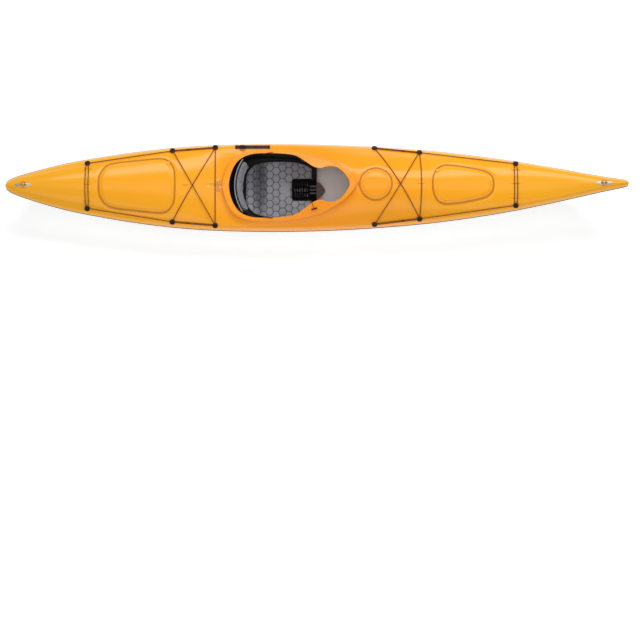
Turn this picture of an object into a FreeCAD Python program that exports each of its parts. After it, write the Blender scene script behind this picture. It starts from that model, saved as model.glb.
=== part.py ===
import FreeCAD, Part
import math
import os
from FreeCAD import Vector

# Sit-inside touring kayak. Frame in millimetres: +X to the bow, +Y to port, +Z up.
# The origin is on the centre line at mid-length, on the flat of the keel that it rests on.

# Overall sizes
length = 4270.0
beam = 615.0
height = 474.0

# Skins and the strip that joins them
wall = 4.5
strip_proud = 3.0
strip_height = 18.0
strip_web = 1.6
strip_stretches = 12
fit = 0.3
web_fit = 0.15
overrun = 40.0
probe = 4.0
tiny = 0.01
straight_turn = 0.0005

half_length = length / 2 - strip_proud
half_beam = beam / 2 - strip_proud

# Table of offsets from bow to stern. Each row holds the place along the half-length, the half-breadth
# as a share of the half-beam, the heights of keel, sheer and crown as shares of the height, how
# vee-shaped the bottom is, and the deck shoulder's rise over the sheer and its breadth.
offset_shares = (
    (1.000, 0.023, 0.852, 0.895, 1.000, 1.00, 0.060, 0.80),
    (1.000, 0.050, 0.844, 0.895, 1.000, 1.00, 0.060, 0.80),
    (0.992, 0.072, 0.810, 0.890, 0.998, 1.00, 0.065, 0.80),
    (0.977, 0.095, 0.745, 0.873, 0.994, 1.00, 0.080, 0.80),
    (0.952, 0.125, 0.633, 0.844, 0.985, 1.00, 0.095, 0.80),
    (0.919, 0.168, 0.483, 0.812, 0.962, 1.00, 0.110, 0.80),
    (0.884, 0.220, 0.327, 0.776, 0.941, 1.00, 0.125, 0.81),
    (0.844, 0.279, 0.205, 0.743, 0.921, 0.95, 0.135, 0.82),
    (0.797, 0.348, 0.158, 0.709, 0.895, 0.85, 0.145, 0.83),
    (0.731, 0.440, 0.137, 0.660, 0.867, 0.70, 0.155, 0.84),
    (0.647, 0.552, 0.120, 0.605, 0.838, 0.52, 0.165, 0.85),
    (0.553, 0.660, 0.099, 0.553, 0.823, 0.36, 0.175, 0.86),
    (0.445, 0.765, 0.076, 0.502, 0.840, 0.22, 0.180, 0.87),
    (0.328, 0.854, 0.051, 0.462, 0.873, 0.12, 0.185, 0.88),
    (0.206, 0.918, 0.027, 0.424, 0.903, 0.05, 0.185, 0.90),
    (0.084, 0.967, 0.006, 0.397, 0.854, 0.00, 0.200, 0.91),
    (-0.038, 0.994, -0.004, 0.384, 0.766, 0.00, 0.215, 0.92),
    (-0.160, 1.000, -0.005, 0.378, 0.722, 0.00, 0.180, 0.93),
    (-0.272, 0.985, -0.005, 0.380, 0.600, 0.00, 0.172, 0.92),
    (-0.320, 0.972, -0.005, 0.382, 0.633, 0.00, 0.172, 0.91),
    (-0.366, 0.959, -0.005, 0.386, 0.684, 0.00, 0.172, 0.90),
    (-0.460, 0.912, -0.005, 0.401, 0.714, 0.03, 0.170, 0.885),
    (-0.553, 0.836, -0.004, 0.420, 0.731, 0.08, 0.162, 0.87),
    (-0.647, 0.740, -0.002, 0.443, 0.739, 0.17, 0.153, 0.855),
    (-0.732, 0.635, 0.008, 0.470, 0.743, 0.30, 0.142, 0.84),
    (-0.797, 0.549, 0.034, 0.496, 0.745, 0.42, 0.132, 0.83),
    (-0.854, 0.447, 0.063, 0.527, 0.745, 0.55, 0.120, 0.82),
    (-0.900, 0.355, 0.072, 0.555, 0.741, 0.70, 0.108, 0.81),
    (-0.931, 0.286, 0.135, 0.576, 0.738, 0.85, 0.098, 0.80),
    (-0.957, 0.230, 0.287, 0.593, 0.734, 0.95, 0.086, 0.80),
    (-0.978, 0.174, 0.418, 0.605, 0.728, 1.00, 0.072, 0.80),
    (-0.993, 0.118, 0.527, 0.614, 0.724, 1.00, 0.060, 0.80),
    (-1.000, 0.072, 0.570, 0.618, 0.722, 1.00, 0.055, 0.80),
    (-1.000, 0.023, 0.582, 0.618, 0.722, 1.00, 0.055, 0.80),
)
hollow_first_row = 5
hollow_last_row = 30

# Bottom sections as shares of half-breadth and depth, from keel to sheer, soft and vee-shaped
soft_bottom_shares = (
    (0, 0), (0.19, 0.004), (0.42, 0.04), (0.65, 0.13), (0.845, 0.283), (0.945, 0.50), (0.985, 0.75), (1, 1),
)
vee_bottom_shares = (
    (0, 0), (0.10, 0.085), (0.24, 0.24), (0.40, 0.43), (0.58, 0.61), (0.75, 0.77), (0.90, 0.90), (1, 1),
)
# Deck section shares: side wall in parts of the shoulder, then top in parts of the crown's rise
side_rise_shares = (0, 0.25, 0.64, 0.96)
side_breadth_shares = (0, 0.04, 0.43, 1.2)
top_rise_shares = (0.42, 0.78, 0.96, 1)
top_breadth_shares = (0.75, 0.46, 0.20, 0)
lid_inset_share = 0.88
stretch_spans = 6

# Cockpit rim
rim_rear = -645.0
rim_front = 279.0
rim_half_width = 246.0
rim_rise = 32.0
rim_thickness = 5.0
rim_lip = 17.0
rim_wall = 5.0
rim_edge = 5.0
rim_edge_drop = 26.0
rim_foot = 10.0
rim_foot_thickness = 3.0
rim_seat_gap = 0.4
rim_outline_shares = (
    (0, 0), (0.05, 0.62), (0.13, 0.89), (0.26, 1.0), (0.50, 0.99), (0.70, 0.84), (0.83, 0.63),
    (0.94, 0.34), (1, 0),
)
opening_rear = -597.0
opening_front = 232.0
opening_half_width = 222.0
opening_outline_shares = (
    (0, 0), (0.03, 0.50), (0.095, 0.83), (0.20, 0.985), (0.36, 1.0), (0.49, 0.965), (0.56, 0.90),
    (0.63, 0.73), (0.70, 0.55), (0.76, 0.49), (0.82, 0.55), (0.89, 0.52), (0.955, 0.33), (1, 0),
)

# Hatches
groove = 9.0
hatch_plate = 4.0
hatch_panel_rise = 4.0
hatch_band = 18.0
hatch_skirt = 16.0
hatch_skirt_gap = 2.0
hatch_ledge_inset = 28.0
hatch_ledge_outset = 14.0
ledge_depth = 4.9
ledge_thickness = 4.0
gasket_thickness = 2.0
gasket_width = 13.0
tab_radius = 12.0
tab_rise = 4.0
stern_hatch_rear = -1497.0
stern_hatch_front = -966.0
stern_hatch_half_width = 193.0
stern_hatch_shares = (
    (0, 0), (0.015, 0.38), (0.09, 0.70), (0.22, 0.84), (0.50, 0.93), (0.78, 1.0), (0.90, 0.93),
    (0.975, 0.68), (1, 0.34),
)
stern_tab_share = 0.905
bow_hatch_rear = 796.0
bow_hatch_front = 1223.0
bow_hatch_half_width = 141.0
bow_hatch_shares = (
    (0, 0), (0.015, 0.42), (0.075, 0.78), (0.18, 0.97), (0.32, 0.98), (0.60, 0.86), (0.85, 0.68),
    (0.95, 0.48), (0.992, 0.25), (1, 0),
)
bow_tab_share = 0.09
day_hatch_x = 411.0
day_hatch_radius = 115.0
day_tab_angle = 117.0

# Deck fittings as shares of the half-length and of the half-breadth there
bow_fitting_shares = ((0.190, 0.925), (0.335, 0.875), (0.643, 0.830))
stern_fitting_shares = ((-0.3255, 0.905), (-0.464, 0.880), (-0.738, 0.800))
fitting_radius = 18.5
fitting_height = 15.0
fitting_waist = 14.0
fitting_waist_height = 9.0
fitting_base = 2.0
fitting_neck = 3.0
fitting_top_share = 0.72
deck_inner_fit = 1.0
screw_radius = 2.5
screw_head_radius = 5.0
screw_head_height = 3.0
screw_length = 26.0
nut_radius = 5.5
nut_height = 4.0

# Lines and bungees
line_radius = 2.6
cord_fit = 0.4
line_height = 6.0
line_steps = 6
bungee_radius = 2.8
bungee_pitch = 28.0
bungee_low = 6.0
bungee_high = 12.6
bungee_top = 6.0
bungee_steps = 16
bungee_short_steps = 6
clip_length = 22.0
clip_radius = 5.2
clip_fit = 0.2
bow_clip_share = 0.64
stern_clip_share = 0.64

# End and rear padeyes
padeye_length = 120.0
padeye_width = 28.0
padeye_thickness = 4.0
padeye_bore = 11.0
padeye_cup_radius = 23.0
padeye_cup_depth = 12.0
padeye_bridge_half_width = 6.0
padeye_taper = 42.0
padeye_tip_share = 0.35
padeye_lift = 0.6
bow_padeye_x = 1966.0
stern_padeye_x = -2010.0
rear_padeye_x = -672.0
rear_padeye_span = 62.0
rear_padeye_rod = 3.0
rear_padeye_rise = 15.0
rear_padeye_foot_radius = 9.0
rear_padeye_foot_thickness = 3.0
rear_padeye_seat = 1.6
rear_padeye_bend_share = 0.5

# Bulkheads and day pod
bulkhead_thickness = 5.0
bow_bulkhead_x = 748.0
stern_bulkhead_x = -740.0
bulkhead_fit = 0.4
bulkhead_joint_inset = 12.0
pod_depth = 150.0
pod_wall = 3.0
pod_radius = 94.0
pod_flange = 14.0

# Skeg, its trunk and its control
skeg_pivot_x = -1600.0
skeg_pivot_z = 52.0
skeg_thickness = 6.0
skeg_down_angle = 70.0
skeg_chord = 230.0
skeg_depth = 158.0
skeg_eye_radius = 16.0
skeg_pin_head = 2.5
skeg_pin_radius = 4.0
skeg_pin_clearance = 0.05
skeg_outline_shares = (
    (-0.035, -0.10), (0.122, -1.0), (0.30, -1.06), (0.783, -0.886), (1.0, -0.22), (0.978, 0.0),
    (0.52, 0.16), (0.07, 0.089),
)
trunk_slot = 8.0
trunk_wall = 3.0
trunk_front_gap = 28.0
trunk_length = 318.0
trunk_top_z = 276.0
slider_rear = -556.0
slider_y = 274.0
slider_z = 258.0
slider_width = 25.0
slider_thickness = 5.0
slider_seat_depth = 9.0
slider_head_room = 30.0
slider_groove = 8.0
slider_rail = 3.0
slider_end = 14.0
slider_travel = 149.0
knob_radius = 21.0
knob_end_gap = 3.0
knob_rest_gap = 13.0
knob_thickness = 18.0
knob_bore = 10.0
knob_fit = 0.4
knob_stem_length = 26.0
knob_foot = 4.0
knob_sink = 4.0
knob_round_share = 0.3
slider_front = slider_rear + knob_rest_gap + slider_travel + 2 * (slider_end + knob_end_gap + knob_radius)
tube_radius = 3.0
cable_radius = 1.2
cable_points = (
    (-560, 262, 236), (-660, 253, 226), (-820, 209, 216), (-960, 160, 210),
    (-1070, 122, 208), (-1180, 86, 208), (-1290, 54, 208), (-1400, 26, 206), (-1490, 8, 200),
    (-1560, 0, 190),
)

# Seat
seat_rear = -512.0
seat_front = 6.0
seat_height = 66.0
seat_side_rise = 26.0
seat_rear_rise = 18.0
seat_dish = 8.0
seat_shell = 4.0
seat_row_shares = (-0.17, 0, 0.12, 0.3, 0.5, 0.75, 1)
seat_column_shares = (-1, -0.8, -0.5, 0, 0.5, 0.8, 1)
pan_inset = 27.5
panel_gap = 0.4
pad_thickness = 20.0
pad_rear = -488.0
pad_front = -28.0
pad_half_width = 196.0
notch_rear = -168.0
notch_half_width = 78.0
notch_corner = 22.0
pad_edge_share = 0.55
pad_outline_shares = (
    (0, 0.30), (0.015, 0.55), (0.09, 0.80), (0.20, 0.94), (0.42, 1.0), (0.70, 0.99), (0.88, 0.90),
    (0.97, 0.78), (1, 0.66),
)
ladder_gap = 4.0
ladder_thickness = 4.0
ladder_rows = 3
ladder_columns = 6
ladder_slot_length = 24.0
ladder_slot_width = 7.0
webbing_width = 12.0
webbing_thickness = 2.0
webbing_count = 3
webbing_pitch = 24.0
webbing_rear = -42.0
side_panel = 4.0
side_panel_rear = -600.0
side_panel_front = -105.0
seat_foot_length = 120.0
seat_foot_width = 60.0
seat_foot_y = 62.0
seat_foot_shares = (0.2, 0.75)
rivet_radius = 4.5
rivet_height = 0.5
rivet_seat = 3.0
rivet_places = ((-432, 121), (-432, -121), (-349, 0), (-178, 0))

# Backrest
back_radius = 320.0
back_rear = -550.0
back_half_angle = 34.5
back_pad_half_angle = 33.3
back_bottom = 178.0
back_top = 322.0
back_shell = 4.0
back_pad = 24.0
back_band = 7.0
back_band_height = 46.0
back_hinge_x = -490.0
back_lug_inner = 184.0
back_arm_rise = 60.0
back_crown = 6.0
back_drawn = 9.0
back_lean = 28.0
back_hinge_z = 172.0
back_pin_radius = 4.0
back_arm = 26.0
back_arm_thickness = 5.0
bracket_gap = 0.4

# Foot braces
rail_rear = 300.0
rail_z = 150.0
rail_height = 26.0
rail_depth = 12.0
rail_lip = 3.5
rail_web = 3.0
rail_gap = 6.0
rail_boss = 5.6
rail_end_room = 28.0
pedal_height = 110.0
pedal_width = 74.0
pedal_thickness = 8.0
pedal_travel = 120.0
pedal_lean = 20.0
pedal_fit = 0.5
pedal_slider = 44.0
rail_front = rail_rear + pedal_slider + 2 * (pedal_travel + rail_end_room)
pedal_reach = 8.0
pedal_rise_share = 0.15
pedal_bars = 4
pedal_bar_radius = 2.0

# Pull cord and handle on the starboard thigh brace
handle_length = 42.0
handle_radius = 5.0
handle_x = -10.0
handle_y = -169.0
handle_turn = 14.0
handle_lift = 1.0
pull_cord_radius = 1.6
pull_cord_rim_places = ((-12, -161.5), (-23, -138))
pull_cord_points = (
    (-31, -120.5, 390), (-36, -113, 362), (-42, -106, 326), (-48, -96, 270), (-53, -85, 205),
    (-56, -76, 150), (-57, -69, 71),
)

out_dir = "parts"


def save(shape, name):
    shape.exportStep(os.path.join(out_dir, name + ".step"))
    print(name, "solids", len(shape.Solids), "volume", round(shape.Volume), shape.isValid())


def mirror(shape):
    return shape.mirror(Vector(0, 0, 0), Vector(0, 1, 0))


def box(low, high):
    size = high - low
    return Part.makeBox(size.x, size.y, size.z, low)


def clamped_knots(count, degree):
    spans = count - degree
    knots = list(range(spans + 1))
    mults = [degree + 1] + [1] * (spans - 1) + [degree + 1]
    return knots, mults


def pole_curve(points):
    knots, mults = clamped_knots(len(points), 3)
    curve = Part.BSplineCurve()
    curve.buildFromPolesMultsKnots(points, mults, knots, False, 3)
    return curve


def whole(net):
    """The first and last knots of a net's lengthwise curves."""
    return 0, len(net) - 3


def stretch_over(net, points):
    """The knots of a net that lie just past both ends of an outline in plan."""
    curve = pole_curve([row[0] for row in net])
    first, last = whole(net)
    front = max(point.x for point in points) + overrun
    rear = min(point.x for point in points) - overrun
    low = max(u for u in range(first, last) if curve.value(u).x > front or u == first)
    high = min(u for u in range(first + 1, last + 1) if curve.value(u).x < rear or u == last)
    return low, high


def strip_faces(near, far, span):
    """Ruled faces between two lengthwise curves given by their poles, cut into stretches."""
    knots, mults = clamped_knots(len(near), 3)
    poles = [list(pair) for pair in zip(near, far)]
    faces = []
    for start in range(span[0], span[1], stretch_spans):
        surface = Part.BSplineSurface()
        surface.buildFromPolesMultsKnots(poles, mults, [2, 2], knots, [0, 1], False, False, 3, 1)
        surface.segment(start, min(start + stretch_spans, span[1]), 0, 1)
        faces.append(surface.toShape())
    return faces


def net_strips(net, span):
    columns = list(zip(*net))
    strips = [strip_faces(near, far, span) for near, far in zip(columns, columns[1:])]
    return sum(strips, [])


def row_at(net, knot):
    return [pole_curve(column).value(knot) for column in zip(*net)]


def flat_cap(row):
    return Part.Face(Part.makePolygon(row + [row[0]]))


def closed_solid(faces):
    shell = Part.makeShell(faces)
    shell.sewShape()
    solid = Part.makeSolid(shell)
    if solid.Orientation == "Reversed":
        solid = Part.makeSolid(shell.reversed())
    return solid


def net_solid(net):
    """A closed solid from a net whose first and last columns are joined by a lid in three strips."""
    lid = []
    for row in net:
        across = [Vector(p.x, p.y * lid_inset_share, p.z) for p in (row[-1], row[0])]
        lid.append([row[-1]] + across + [row[0]])
    caps = [flat_cap(row + side[1:-1]) for row, side in ((net[0], lid[0]), (net[-1], lid[-1]))]
    return closed_solid(net_strips(net, whole(net)) + net_strips(lid, whole(net)) + caps)


# Each row of the table in millimetres
def offset_row(shares):
    along, breadth, keel, sheer, crown, vee, rise, shoulder = shares
    return {
        "x": along * half_length,
        "half": breadth * half_beam,
        "keel": keel * height,
        "sheer": sheer * height,
        "crown": crown * height,
        "vee": vee,
        "rise": rise * height,
        "shoulder": shoulder,
    }


rows = [offset_row(shares) for shares in offset_shares]
rim_gap = strip_web / 2 + web_fit
sheer_line = [Vector(row["x"], row["half"], row["sheer"]) for row in rows]


def value_at(x, key):
    """A column of the table at a place along the length, straight between its rows."""
    for fore, aft in zip(rows, rows[1:]):
        if aft["x"] <= x <= fore["x"] and fore["x"] > aft["x"]:
            share = (x - aft["x"]) / (fore["x"] - aft["x"])
            return aft[key] + share * (fore[key] - aft[key])
    return rows[-1][key]


def both_sides(half):
    """Mirrors the points of a half section, given from the centre line out to port."""
    starboard = [Vector(p.x, -p.y, p.z) for p in reversed(half[1:])]
    return starboard + half


def hull_section(row):
    top = row["sheer"] - rim_gap
    half = []
    for soft, vee in zip(soft_bottom_shares, vee_bottom_shares):
        out = soft[0] + (vee[0] - soft[0]) * row["vee"]
        up = soft[1] + (vee[1] - soft[1]) * row["vee"]
        half.append(Vector(row["x"], out * row["half"], row["keel"] + up * (top - row["keel"])))
    return both_sides(half)


def deck_section(row):
    base = row["sheer"] + rim_gap
    shoulder_z = row["sheer"] + row["rise"]
    side = []
    for up, drawn in zip(side_rise_shares, side_breadth_shares):
        out = 1 - drawn * (1 - row["shoulder"])
        side.append(Vector(row["x"], out * row["half"], base + up * (shoulder_z - base)))
    top = []
    for up, out in zip(top_rise_shares, top_breadth_shares):
        z = shoulder_z + up * (row["crown"] - shoulder_z)
        top.append(Vector(row["x"], out * row["shoulder"] * row["half"], z))
    return both_sides(list(reversed(side + top)))


hull_net = [hull_section(row) for row in rows]
deck_net = [deck_section(row) for row in rows]


def inner_net(net, depth, open_step):
    """Moves the net in by a depth along its normals, and its open edges on past the rim."""
    picked = range(hollow_first_row, hollow_last_row)
    result = []
    columns = len(net[0])
    for i in picked:
        centre = sum(net[i], Vector()) * (1 / columns)
        line = []
        for j in range(columns):
            along = net[i + 1][j] - net[i - 1][j]
            across = net[i][min(j + 1, columns - 1)] - net[i][max(j - 1, 0)]
            normal = along.cross(across).normalize()
            if normal.dot(net[i][j] - centre) < 0:
                normal = normal * -1
            level = Vector(0, normal.y, normal.z)
            point = net[i][j] - level * (depth / level.dot(level))
            if net[i][j].y * point.y < 0:
                point.y = 0
            line.append(point)
        line[0].z += open_step
        line[-1].z += open_step
        result.append(line)
    return result


def full_height_block(low_x, high_x, half_width):
    return box(Vector(low_x, -half_width, -height), Vector(high_x, half_width, 2 * height))


def corner_arc(before, corner, after, room_share):
    """The start, middle and end of the arc that rounds a corner, or nothing if it is straight."""
    room = room_share * min((corner - before).Length, (after - corner).Length)
    come = (corner - before).normalize()
    go = (after - corner).normalize()
    half_turn = come.getAngle(go) / 2
    if half_turn < straight_turn:
        return None
    bulge = room / math.tan(half_turn) * (1 / math.cos(half_turn) - 1)
    return corner - come * room, corner + (go - come).normalize() * bulge, corner + go * room


def loop_corners(points):
    count = len(points)
    return [(points[i - 1], points[i], points[(i + 1) % count]) for i in range(count)]


def smooth_loop(points):
    """A closed outline of tangent arcs and short lines whose arcs pass through the points."""
    corners = []
    for before, corner, after in loop_corners(points):
        arc = corner_arc(before, corner, after, 0.5)
        corners.append(corner + (corner - arc[1]) if arc else corner)
    runs = []
    for before, corner, after in loop_corners(corners):
        runs.append(corner_arc(before, corner, after, 0.5) or (corner, None, corner))
    edges = []
    last = runs[-1][2]
    for start, middle, end in runs:
        if (start - last).Length > tiny:
            edges.append(Part.makeLine(last, start))
            last = start
        if middle:
            edges.append(Part.Arc(last, middle, end).toShape())
            last = end
    return Part.Wire(edges)


def loop_points(rear, front, half_width, shares):
    """A closed plan outline, mirrored about the centre line."""
    port = [Vector(rear + a * (front - rear), b * half_width, 0) for a, b in shares]
    starboard = [Vector(p.x, -p.y, 0) for p in reversed(port) if p.y > 0]
    return port + starboard


def inset(points, distance):
    moved = []
    count = len(points)
    for i, point in enumerate(points):
        along = (points[(i + 1) % count] - points[i - 1]).normalize()
        inward = Vector(along.y, -along.x, 0)
        moved.append(point + inward * distance)
    return moved


def prism(wire):
    face = Part.Face(wire)
    face.translate(Vector(0, 0, -height))
    return face.extrude(Vector(0, 0, 3 * height))


def loop_prism(points, distance=0):
    return prism(smooth_loop(inset(points, distance)))


def ring_prism(points, outer, inner):
    return loop_prism(points, outer).cut(loop_prism(points, inner))


deck_top = Part.makeCompound(net_strips(deck_net, whole(deck_net)))


def raised(net, lift):
    return [[point + Vector(0, 0, lift) for point in row] for row in net]


def deck_slab(low, high, points):
    """The deck's outer surface over an outline, moved down or up and thickened upwards."""
    span = stretch_over(deck_net, points)
    return slab_between(raised(deck_net, low), raised(deck_net, high), span)


def skin_slab(low, high, points):
    """A layer over an outline that keeps its distance from the deck's outer surface."""
    bottom = inner_net(deck_net, -low, 0)
    return slab_between(bottom, inner_net(deck_net, -high, 0), stretch_over(bottom, points))


def net_slab(net, low, high):
    return slab_between(raised(net, low), raised(net, high), whole(net))


def slab_between(bottom, top, span):
    sides = []
    for end in (0, -1):
        sides += strip_faces([row[end] for row in bottom], [row[end] for row in top], span)
    caps = [flat_cap(row_at(bottom, knot) + list(reversed(row_at(top, knot)))) for knot in span]
    return closed_solid(net_strips(bottom, span) + net_strips(top, span) + sides + caps)


def deck_point(x, y, lift=0):
    """A place on the deck's outer surface, moved out along the surface's normal."""
    place = deck_place(x, y)
    return place + deck_normal(place) * lift


def deck_place(x, y):
    ray = Part.makeLine(Vector(x, y, 0), Vector(x, y, 2 * height))
    return ray.distToShape(deck_top)[1][0][1]


def deck_normal(place):
    along = deck_place(place.x + probe, place.y) - deck_place(place.x - probe, place.y)
    across = deck_place(place.x, place.y + probe) - deck_place(place.x, place.y - probe)
    return along.cross(across).normalize()


def rod(start, end, radius):
    return Part.makeCylinder(radius, (end - start).Length, start, end - start)


def tube(points, radius, label):
    """Straight runs joined by tangent arcs as large as the runs allow."""
    edges = []
    last = points[0]
    for before, corner, after in zip(points, points[1:], points[2:]):
        arc = corner_arc(before, corner, after, 0.45)
        if not arc:
            continue
        edges.append(Part.LineSegment(last, arc[0]).toShape())
        edges.append(Part.Arc(*arc).toShape())
        last = arc[2]
    edges.append(Part.LineSegment(last, points[-1]).toShape())
    path = Part.Wire(edges)
    ring = Part.Wire([Part.Circle(points[0], points[1] - points[0], radius).toShape()])
    solid = path.makePipeShell([ring], True, False)
    radii = [e.Curve.Radius for e in edges if hasattr(e.Curve, "Radius")]
    expected = math.pi * radius**2 * path.Length
    print("tube", label, "length", round(path.Length), "shortest radius", round(min(radii, default=0)),
          "volume over expected", round(solid.Volume / expected, 3))
    return solid


def compound(solids):
    return Part.makeCompound(solids)


# Outlines in plan
pad_loop = loop_points(pad_rear, pad_front, pad_half_width, pad_outline_shares)
rim_loop = loop_points(rim_rear, rim_front, rim_half_width, rim_outline_shares)
opening_loop = loop_points(opening_rear, opening_front, opening_half_width, opening_outline_shares)
stern_hatch_loop = loop_points(
    stern_hatch_rear, stern_hatch_front, stern_hatch_half_width, stern_hatch_shares
)
bow_hatch_loop = loop_points(bow_hatch_rear, bow_hatch_front, bow_hatch_half_width, bow_hatch_shares)
day_hatch_loop = [
    Vector(
        day_hatch_x - day_hatch_radius * math.cos(math.radians(angle)),
        day_hatch_radius * math.sin(math.radians(angle)),
        0,
    )
    for angle in range(0, 360, 30)
]
rim_wall_outer = rim_lip
rim_wall_inner = rim_lip + rim_wall


def fitting_places(shares):
    places = []
    for along, out in shares:
        x = along * half_length
        y = out * value_at(x, "half")
        places.append((x, y))
        places.append((x, -y))
    return places


fittings = fitting_places(bow_fitting_shares) + fitting_places(stern_fitting_shares)


def screw_hole(x, y):
    place = deck_point(x, y)
    normal = deck_normal(place)
    return rod(place - normal * screw_length, place + normal * screw_length, screw_radius + fit)


def make_hull():
    shell = net_solid(hull_net).cut(net_solid(inner_net(hull_net, wall, overrun)))
    shell = shell.cut(box(Vector(-length, -beam, -height), Vector(length, beam, 0)))
    slot = box(
        Vector(trunk_rear_x, -trunk_slot / 2, -height),
        Vector(trunk_front_x, trunk_slot / 2, skeg_pivot_z),
    )
    return shell.cut(slot)


def with_slider_seat(shell, outer):
    """The deck with a flat for the slider let into its shoulder, walled inboard and at both ends."""
    inboard = slider_y - slider_width / 2 - fit
    outboard = slider_y + slider_width / 2
    top = slider_z + slider_head_room
    block = box(
        Vector(slider_rear - fit - wall, inboard - wall, slider_z - slider_seat_depth),
        Vector(slider_front + fit + wall, outboard, top),
    )
    recess = box(
        Vector(slider_rear - fit, inboard, slider_z),
        Vector(slider_front + fit, outboard + wall, top),
    )
    return shell.fuse(block.common(outer)).cut(recess).cut(slider_slot())


def make_deck():
    outer = net_solid(deck_net)
    inner = net_solid(inner_net(deck_net, wall, -overrun))
    shell = outer.cut(inner).cut(loop_prism(rim_loop, rim_wall_inner))
    for loop in (stern_hatch_loop, bow_hatch_loop, day_hatch_loop):
        shell = shell.cut(loop_prism(loop))
    shell = with_slider_seat(shell, outer)
    for x, y in fittings:
        shell = shell.cut(screw_hole(x, y))
    for x in (bow_padeye_x, stern_padeye_x):
        shell = shell.fuse(padeye_cup(x, -pod_wall).common(outer)).cut(padeye_cup(x))
    for side in (-1, 1):
        shell = shell.cut(rear_padeye_leg(side, fit))
    return shell


def slider_slot():
    """The slit in the deck that the slider's stem and the skeg cable pass through."""
    return box(
        Vector(slider_rear + slider_end, slider_y - slider_groove / 2, slider_z - height),
        Vector(slider_front - slider_end, slider_y + slider_groove / 2, slider_z + height),
    )


def padeye_cup(x, shrink=0):
    """A shallow round bowl under an end padeye."""
    top = deck_place(x, 0)
    radius = padeye_cup_radius - shrink
    depth = padeye_cup_depth - shrink
    cup = Part.makeSphere(radius)
    squash = FreeCAD.Matrix()
    squash.scale(Vector(1, 1, depth / radius))
    cup = cup.transformGeometry(squash)
    cup.translate(top)
    return cup


def make_seam_strip():
    """A black tee section round the whole sheer: a band outside and a tongue between the skins."""
    outside = plan_prism(sheer_line, -strip_proud)
    skin = plan_prism(sheer_line, -web_fit)
    inside = plan_prism(sheer_line, wall)
    band = outside.cut(skin).common(level_band(sheer_line, strip_height))
    tongue = skin.cut(inside).common(level_band(sheer_line, strip_web))
    return in_stretches(band.fuse(tongue), strip_stretches)


def in_stretches(solid, count):
    """The same solid with its long faces cut into short ones, so that its volume is measured well."""
    step = length / count
    stretches = []
    for i in range(count):
        start = i * step - length / 2
        stretches.append(solid.common(full_height_block(start, start + step, beam)))
    return stretches[0].fuse(stretches[1:])


def plan_prism(sheer, distance):
    """The plan of the sheer, moved in by a distance, as a tall prism."""
    port = []
    for i, point in enumerate(sheer):
        along = sheer[min(i + 1, len(sheer) - 1)] - sheer[max(i - 1, 0)]
        inward = Vector(along.y, -along.x, 0).normalize()
        if inward.y > 0 or (inward.y == 0 and inward.x * point.x > 0):
            inward = inward * -1
        moved = Vector(point.x, point.y, 0) + inward * distance
        port.append(moved)
    starboard = [Vector(p.x, -p.y, 0) for p in reversed(port)]
    edges = [
        pole_curve(port).toShape(),
        Part.makeLine(port[-1], starboard[0]),
        pole_curve(starboard).toShape(),
        Part.makeLine(starboard[-1], port[0]),
    ]
    return prism(Part.Wire(edges))


def level_band(sheer, depth):
    """A band of a given depth about the sheer line, right across the boat."""
    reach = half_beam + overrun
    ends = (sheer[0] + Vector(overrun, 0, 0), sheer[-1] - Vector(overrun, 0, 0))
    low = [Vector(p.x, -reach, p.z - depth / 2) for p in sheer]
    high = [p + Vector(0, 0, depth) for p in low]
    fore = [Vector(ends[0].x, -reach, ends[0].z + step) for step in (-depth / 2, depth / 2)]
    rear = [Vector(ends[1].x, -reach, ends[1].z + step) for step in (-depth / 2, depth / 2)]
    edges = [
        Part.makeLine(fore[0], low[0]),
        pole_curve(low).toShape(),
        Part.makeLine(low[-1], rear[0]),
        Part.makeLine(rear[0], rear[1]),
        Part.makeLine(rear[1], high[-1]),
        pole_curve(list(reversed(high))).toShape(),
        Part.makeLine(high[0], fore[1]),
        Part.makeLine(fore[1], fore[0]),
    ]
    return Part.Face(Part.Wire(Part.__sortEdges__(edges))).extrude(Vector(0, 2 * reach, 0))


def make_coaming():
    """Keyhole rim with thigh braces, a drip edge, a wall and a foot bonded to the deck."""
    top = deck_slab(rim_rise - rim_thickness, rim_rise, rim_loop)
    rim = top.common(loop_prism(rim_loop).cut(loop_prism(opening_loop)))
    edge_slab = deck_slab(rim_rise - rim_edge_drop, rim_rise - rim_thickness / 2, rim_loop)
    edge = edge_slab.common(ring_prism(rim_loop, 0, rim_edge))
    wall_slab = deck_slab(rim_seat_gap, rim_rise - rim_thickness / 2, rim_loop)
    upright = wall_slab.common(ring_prism(rim_loop, rim_wall_outer, rim_wall_inner))
    foot_slab = deck_slab(rim_seat_gap, rim_seat_gap + rim_foot_thickness, rim_loop)
    foot = foot_slab.common(ring_prism(rim_loop, rim_lip - rim_foot, rim_wall_inner - rim_wall / 2))
    return rim.fuse([edge, upright, foot])


def hatch_rim(loop):
    slab = skin_slab(-ledge_depth - ledge_thickness, -ledge_depth, loop)
    return slab.common(ring_prism(loop, -hatch_ledge_outset, hatch_ledge_inset))


def hatch_gasket(loop):
    low = -ledge_depth
    slab = skin_slab(low, low + gasket_thickness, loop)
    outer = hatch_ledge_inset - fit - gasket_width
    return slab.common(ring_prism(loop, outer, outer + gasket_width))


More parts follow.
